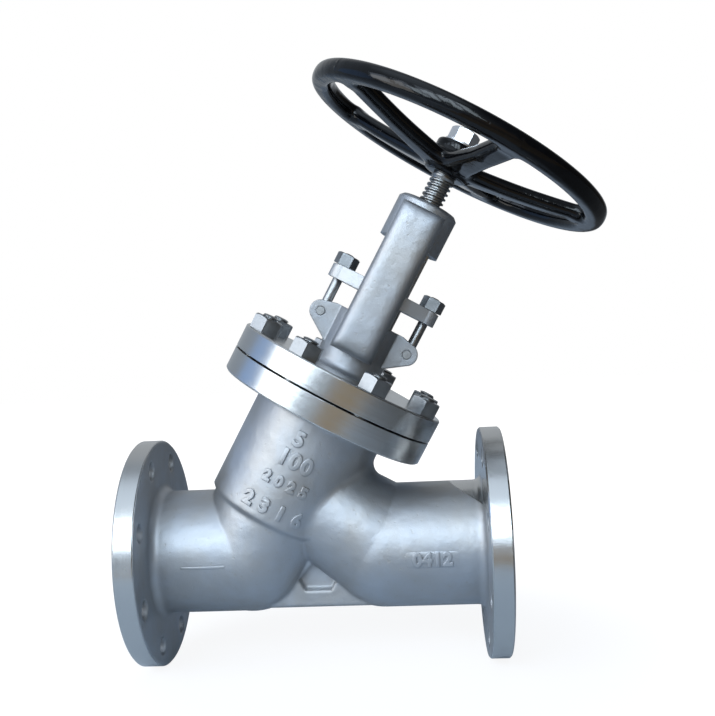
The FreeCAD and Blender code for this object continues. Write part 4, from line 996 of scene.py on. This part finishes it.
class VALVE_OT_castings(ValveStep):
    """Finishes the body, the bonnet and the gland flange"""

    bl_idname = "valve.castings"
    bl_label = "Castings"

    def execute(self, context):
        materials = bpy.data.materials
        clothe("body", materials["body_metal"])
        clothe("bonnet", materials["bonnet_metal"])
        clothe("gland_flange", materials["gland_metal"])
        for name, side in (("near", -1), ("far", 1)):
            skin(f"crowned_arm_{name}", crowned_arm(sizes_of(context), side), "valve", materials["bonnet_metal"],
                 40)
        return {"FINISHED"}


class VALVE_OT_trim(ValveStep):
    """Finishes the seat, disc, bushes, gasket, packing and pins"""

    bl_idname = "valve.trim"
    bl_label = "Inner pieces"

    def execute(self, context):
        materials = bpy.data.materials
        for node in ("seat_ring", "disc", "disc_nut", "packing_washer", "gland_bush", "wheel_key", "yoke_bush_screw"):
            clothe(node, materials["bright_steel"])
        for node in ("eyebolt_pin_left", "eyebolt_pin_right"):
            clothe(node, materials["worn_steel"])
        for node in ("yoke_bush", "backseat_bush"):
            clothe(node, materials["bronze"])
        clothe("body_gasket", materials["gasket_graphite"])
        for ring in range(1, 6):
            clothe(f"packing_ring_{ring}", materials["packing_graphite"])
        return {"FINISHED"}


class VALVE_OT_stem(ValveStep):
    """Makes the stem with its threads"""

    bl_idname = "valve.stem"
    bl_label = "Threaded stem"

    def execute(self, context):
        sizes = sizes_of(context)
        stem = skin("threaded_stem", [stem_grid(sizes)], "spindle", bpy.data.materials["worn_steel"], 40)
        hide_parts("stem")
        return {"FINISHED"}


class VALVE_OT_bolting(ValveStep):
    """Makes the bonnet's studs and nuts"""

    bl_idname = "valve.bolting"
    bl_label = "Bonnet studs and nuts"

    def execute(self, context):
        sizes = sizes_of(context)
        steel = bpy.data.materials["nut_steel"]
        studs = []
        nuts = []
        stud = stud_grid(sizes.stud_r, sizes.stud_low, sizes.stud_top, 2 * MM, 1.1 * MM)
        for a, y, turn in bolt_places(sizes):
            studs.append((on_stem(moved(turned_about_stem(stud, turn), a, y)), False, True))
            nut = nut_surface(sizes.stud_nut_r, sizes.stud_r * 0.99, sizes.bonnet_top,
                              sizes.bonnet_top + sizes.stud_nut_t, washer=True)
            nuts.append((on_stem(moved(turned_about_stem(nut, math.pi / 2), a, y)), False, True))
        studs = skin("threaded_studs", studs, "valve", bpy.data.materials["worn_steel"], 40)
        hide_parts("bonnet_studs")
        nuts = skin("chamfered_bonnet_nuts", nuts, "valve", steel, 28)
        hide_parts("bonnet_nuts")
        return {"FINISHED"}


class VALVE_OT_swing_bolts(ValveStep):
    """Makes the two swing bolts and their nuts"""

    bl_idname = "valve.swing_bolts"
    bl_label = "Gland swing bolts"

    def execute(self, context):
        sizes = sizes_of(context)
        for name, side in (("left", -1), ("right", 1)):
            body = f"swing_bolt_{name}"
            bolt = skin(f"threaded_swing_bolt_{name}", eye_grids(sizes, side), body,
                        bpy.data.materials["worn_steel"], 40)
            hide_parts(f"eyebolt_{name}")
            nut = nut_surface(sizes.gland_nut_r, sizes.eyebolt_r * 0.99, sizes.gland_nut_low,
                              sizes.gland_nut_low + sizes.gland_nut_t, washer=True)
            nut = skin(f"chamfered_gland_nut_{name}", [(on_stem(moved(nut, a=side * sizes.pin_out)), False, True)], body,
                       bpy.data.materials["nut_steel"], 28)
            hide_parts(f"gland_nut_{name}")
        return {"FINISHED"}


class VALVE_OT_handwheel(ValveStep):
    """Makes the enamelled handwheel and its nut, and finishes its washer"""

    bl_idname = "valve.handwheel"
    bl_label = "Handwheel"

    def execute(self, context):
        sizes = sizes_of(context)
        wheel = skin("enamelled_handwheel", wheel_grids(sizes), "spindle", bpy.data.materials["black_enamel"],
                     40)
        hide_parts("handwheel")
        low = sizes.hub_high + sizes.wheel_washer_t
        nut = nut_surface(sizes.wheel_nut_r, sizes.stem_end_r * 0.99, low, low + sizes.wheel_nut_t, washer=True)
        nut = skin("chamfered_wheel_nut", [(on_stem(nut), False, True)], "spindle",
                   bpy.data.materials["bright_steel"], 28)
        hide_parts("wheel_nut")
        clothe("wheel_washer", bpy.data.materials["bright_steel"])
        return {"FINISHED"}


class VALVE_OT_cast_marks(ValveStep):
    """Raises plain numbers and bars on the body, as castings have"""

    bl_idname = "valve.cast_marks"
    bl_label = "Cast numbers"

    def execute(self, context):
        sizes = sizes_of(context)
        facing = -math.pi / 2
        rows = (("cast_mark_size", "5", 14, -4, 131), ("cast_mark_bore", "100", 15, 1, 110.5),
                ("cast_mark_rating", "2 0 2 5", 10, 2, 86.9), ("cast_mark_grade", "2 3 1 6", 13.5, 2, 59.5))
        for name, text, height, degrees, level in rows:
            cast_letters(name, text, height * MM, facing + math.radians(degrees), level * MM, sizes)
        cast_letters("cast_mark_pour", "0412", 12 * MM, math.radians(-3), 0, sizes,
                     about_pipe=(sizes.pipe_r + 0.3 * MM, 0.294))
        metal = bpy.data.materials["cast_mark_metal"]
        bars = (("cast_pad_outlet", 27, 8.4, 0.35, 294, -3), ("cast_bar_inlet", 22, 1.6, 1.1, 73.5, -3.7))
        for name, half_length, half_height, rise, middle, degrees in bars:
            grids = pad_grid(half_length * MM, half_height * MM, rise * MM, sizes.pipe_r, middle * MM, math.radians(degrees))
            skin(name, grids, "valve", metal, 50)
        return {"FINISHED"}


class VALVE_OT_studio(ValveStep):
    """Makes the floor, the lights, the room's glow and the camera"""

    bl_idname = "valve.studio"
    bl_label = "Studio"

    def execute(self, context):
        view = context.scene.valve_view
        make_floor()
        make_room(view)
        make_lamps(view)
        make_camera(view)
        context.scene.view_settings.view_transform = "Standard"
        return {"FINISHED"}


def make_floor():
    floor_z = CAD_BOX[0][2] - 0.1 * MM
    half = 6.0
    mesh = bpy.data.meshes.new("floor")
    corners = [(-half, -half, floor_z), (half, -half, floor_z), (half, half, floor_z), (-half, half, floor_z)]
    mesh.from_pydata(corners, [], [(0, 1, 2, 3)])
    material = bpy.data.materials.new("pale_floor")
    material.use_nodes = True
    material.node_tree.nodes.clear()
    nodes = Tree(material.node_tree)
    grain = nodes.noise(nodes.place(), 9, 3)
    path = nodes.add("ShaderNodeLightPath").outputs
    pale = nodes.mix(grain, (0.47, 0.53, 0.60, 1), (0.51, 0.57, 0.64, 1))
    axes = nodes.add("ShaderNodeSeparateXYZ", {0: nodes.place()}).outputs
    color = nodes.mix(nodes.step(axes[0], 0.40, 0.62), pale, (0.15, 0.145, 0.14, 1))
    boards = nodes.maths("MULTIPLY", nodes.step(axes[1], -0.8, -0.6, 1.0, 0.0), nodes.step(axes[0], -0.4, -0.2))
    color = nodes.mix(boards, color, (0.34, 0.235, 0.13, 1))
    color = nodes.mix(path["Is Camera Ray"], color, pale)
    matte = nodes.add("ShaderNodeBsdfDiffuse", {"Color": color})
    glow = nodes.add("ShaderNodeEmission", {"Color": (1, 1, 1, 1), "Strength": 1.2})
    middle = ((CAD_BOX[0][0] + CAD_BOX[1][0]) / 2, 0, floor_z)
    away = nodes.vector("DISTANCE", nodes.place(), middle, out="Value")
    share = nodes.maths("MULTIPLY", path["Is Camera Ray"], nodes.step(away, 0.18, 0.62, 0.74, 1.0))
    mixed = nodes.add("ShaderNodeMixShader", {0: share, 1: matte.outputs[0], 2: glow.outputs[0]})
    output = nodes.add("ShaderNodeOutputMaterial")
    material.node_tree.links.new(mixed.outputs[0], output.inputs[0])
    mesh.materials.append(material)
    floor = bpy.data.objects.new("floor", mesh)
    bpy.context.scene.collection.objects.link(floor)


def make_room(view):
    """A workshop round the valve: pale ahead of it, a bright window to the left, warm and dim to the right."""
    world = bpy.data.worlds.new("workshop")
    bpy.context.scene.world = world
    world.use_nodes = True
    world.node_tree.nodes.clear()
    nodes = Tree(world.node_tree)
    direction = nodes.add("ShaderNodeTexCoord").outputs["Generated"]

    def toward(turn, rise, low, high):
        """1 round a direction, given by its turn leftwards from behind the camera and its rise, in degrees."""
        turn = math.radians(turn)
        rise = math.radians(rise)
        line = (-math.sin(turn) * math.cos(rise), -math.cos(turn) * math.cos(rise), math.sin(rise))
        near = nodes.vector("DOT_PRODUCT", direction, line, out="Value")
        return nodes.step(near, math.cos(math.radians(low)), math.cos(math.radians(high)))

    axes = nodes.add("ShaderNodeSeparateXYZ", {0: direction}).outputs
    color = nodes.mix(nodes.step(axes[2], -0.4, 0.6), (0.29, 0.34, 0.40, 1), (0.36, 0.41, 0.47, 1))
    color = nodes.mix(toward(-95, 5, 85, 45), color, (0.045, 0.042, 0.040, 1))
    color = nodes.mix(toward(-22, -8, 24, 10), color, (0.36, 0.24, 0.12, 1))
    color = nodes.mix(toward(94, 14, 22, 10), color, (0.36, 0.56, 0.95, 1))
    color = nodes.mix(toward(180, 35, 45, 20), color, (0.50, 0.53, 0.56, 1))
    color = nodes.mix(toward(10, 66, 36, 12), color, (0.95, 1.10, 1.28, 1))
    # a row of tall windows ahead of the valve and to its left
    leftward = nodes.maths("ARCTAN2", nodes.maths("MULTIPLY", axes[0], -1), nodes.maths("MULTIPLY", axes[1], -1))
    pane = nodes.maths("FRACT", nodes.maths("MULTIPLY_ADD", leftward, 1 / math.radians(view.window_step), 0.5))
    open_part = nodes.maths("MULTIPLY", nodes.step(pane, 0.10, 0.16), nodes.step(pane, 0.84, 0.90, 1.0, 0.0))
    for value, low, high in ((leftward, -12, 78), (nodes.maths("ARCSINE", axes[2]), 13, 40)):
        for limit, first, last in ((low, 0.0, 1.0), (high, 1.0, 0.0)):
            edge = math.radians(limit)
            open_part = nodes.maths("MULTIPLY", open_part, nodes.step(value, edge - 0.03, edge + 0.03, first, last))
    color = nodes.mix(open_part, color, opaque([view.window_strength * c for c in (0.84, 0.97, 1.16)]))
    room = nodes.add("ShaderNodeBackground", {"Color": color, "Strength": view.room_strength})
    paper = nodes.add("ShaderNodeBackground", {"Color": (1, 1, 1, 1), "Strength": 1.0})
    path = nodes.add("ShaderNodeLightPath").outputs
    mixed = nodes.add("ShaderNodeMixShader", {0: path["Is Camera Ray"], 1: room.outputs[0], 2: paper.outputs[0]})
    output = nodes.add("ShaderNodeOutputWorld")
    world.node_tree.links.new(mixed.outputs[0], output.inputs[0])


def make_lamp(name, place, target, width, height, power, color):
    """A rectangular soft light that points at its target."""
    light = bpy.data.lights.new(name, "AREA")
    light.shape = "RECTANGLE"
    light.size = width
    light.size_y = height
    light.energy = power
    light.color = color
    lamp = bpy.data.objects.new(name, light)
    lamp.location = place
    lamp.rotation_euler = (Vector(target) - Vector(place)).to_track_quat("-Z", "Y").to_euler()
    lamp.visible_camera = False
    bpy.context.scene.collection.objects.link(lamp)


def make_lamps(view):
    middle = (0.22, 0.0, 0.12)
    make_lamp("window_left", (-1.5, -1.3, 0.9), middle, 1.1, 1.5, view.key_power * 1.5, (1.0, 0.96, 0.88))
    for pane in range(4):
        make_lamp(f"window_ahead_{pane}", (-0.75 + 0.45 * pane, -1.7, 0.95), middle, 0.3, 0.8, view.top_power / 2,
                  (0.76, 0.90, 1.0))


def make_camera(view):
    camera = bpy.data.cameras.new("photograph")
    camera.sensor_fit = "HORIZONTAL"
    camera.sensor_width = 36
    camera.lens = view.focal_share * camera.sensor_width
    camera.shift_x = view.shift_x
    camera.shift_y = view.shift_y
    camera.clip_start = 0.01
    camera.clip_end = 50
    camera.dof.use_dof = False
    level = Matrix(((1, 0, 0), (0, 0, -1), (0, 1, 0)))
    turn = Matrix.Rotation(view.camera_yaw, 3, "Z") @ Matrix.Rotation(view.camera_pitch, 3, "X")
    turn = turn @ level @ Matrix.Rotation(view.camera_roll, 3, "Z")
    holder = bpy.data.objects.new("photograph", camera)
    holder.matrix_world = Matrix.Translation(view.camera_place) @ turn.to_4x4()
    bpy.context.scene.collection.objects.link(holder)
    bpy.context.scene.camera = holder


STEPS = (VALVE_OT_finishes, VALVE_OT_castings, VALVE_OT_trim, VALVE_OT_stem, VALVE_OT_bolting, VALVE_OT_swing_bolts,
         VALVE_OT_handwheel, VALVE_OT_cast_marks, VALVE_OT_studio)


class VALVE_PT_steps(bpy.types.Panel):
    """Lists the steps that dress the valve, with its colours"""

    bl_label = "Globe valve"
    bl_idname = "VALVE_PT_steps"
    bl_space_type = "VIEW_3D"
    bl_region_type = "UI"
    bl_category = "Globe valve"

    def draw(self, context):
        for step in STEPS:
            self.layout.operator(step.bl_idname)
        for name in ValveLooks.__annotations__:
            self.layout.prop(context.scene.valve_looks, name)


CLASSES = (ValveSizes, ValveLooks, ValveView) + STEPS + (VALVE_PT_steps,)


def register():
    for made in CLASSES:
        bpy.utils.register_class(made)
    bpy.types.Scene.valve_sizes = PointerProperty(type=ValveSizes)
    bpy.types.Scene.valve_looks = PointerProperty(type=ValveLooks)
    bpy.types.Scene.valve_view = PointerProperty(type=ValveView)


def unregister():
    del bpy.types.Scene.valve_sizes
    del bpy.types.Scene.valve_looks
    del bpy.types.Scene.valve_view
    for made in reversed(CLASSES):
        bpy.utils.unregister_class(made)


def main():
    register()
    for step in STEPS:
        group, name = step.bl_idname.split(".")
        getattr(getattr(bpy.ops, group), name)()


if __name__ == "__main__":
    main()
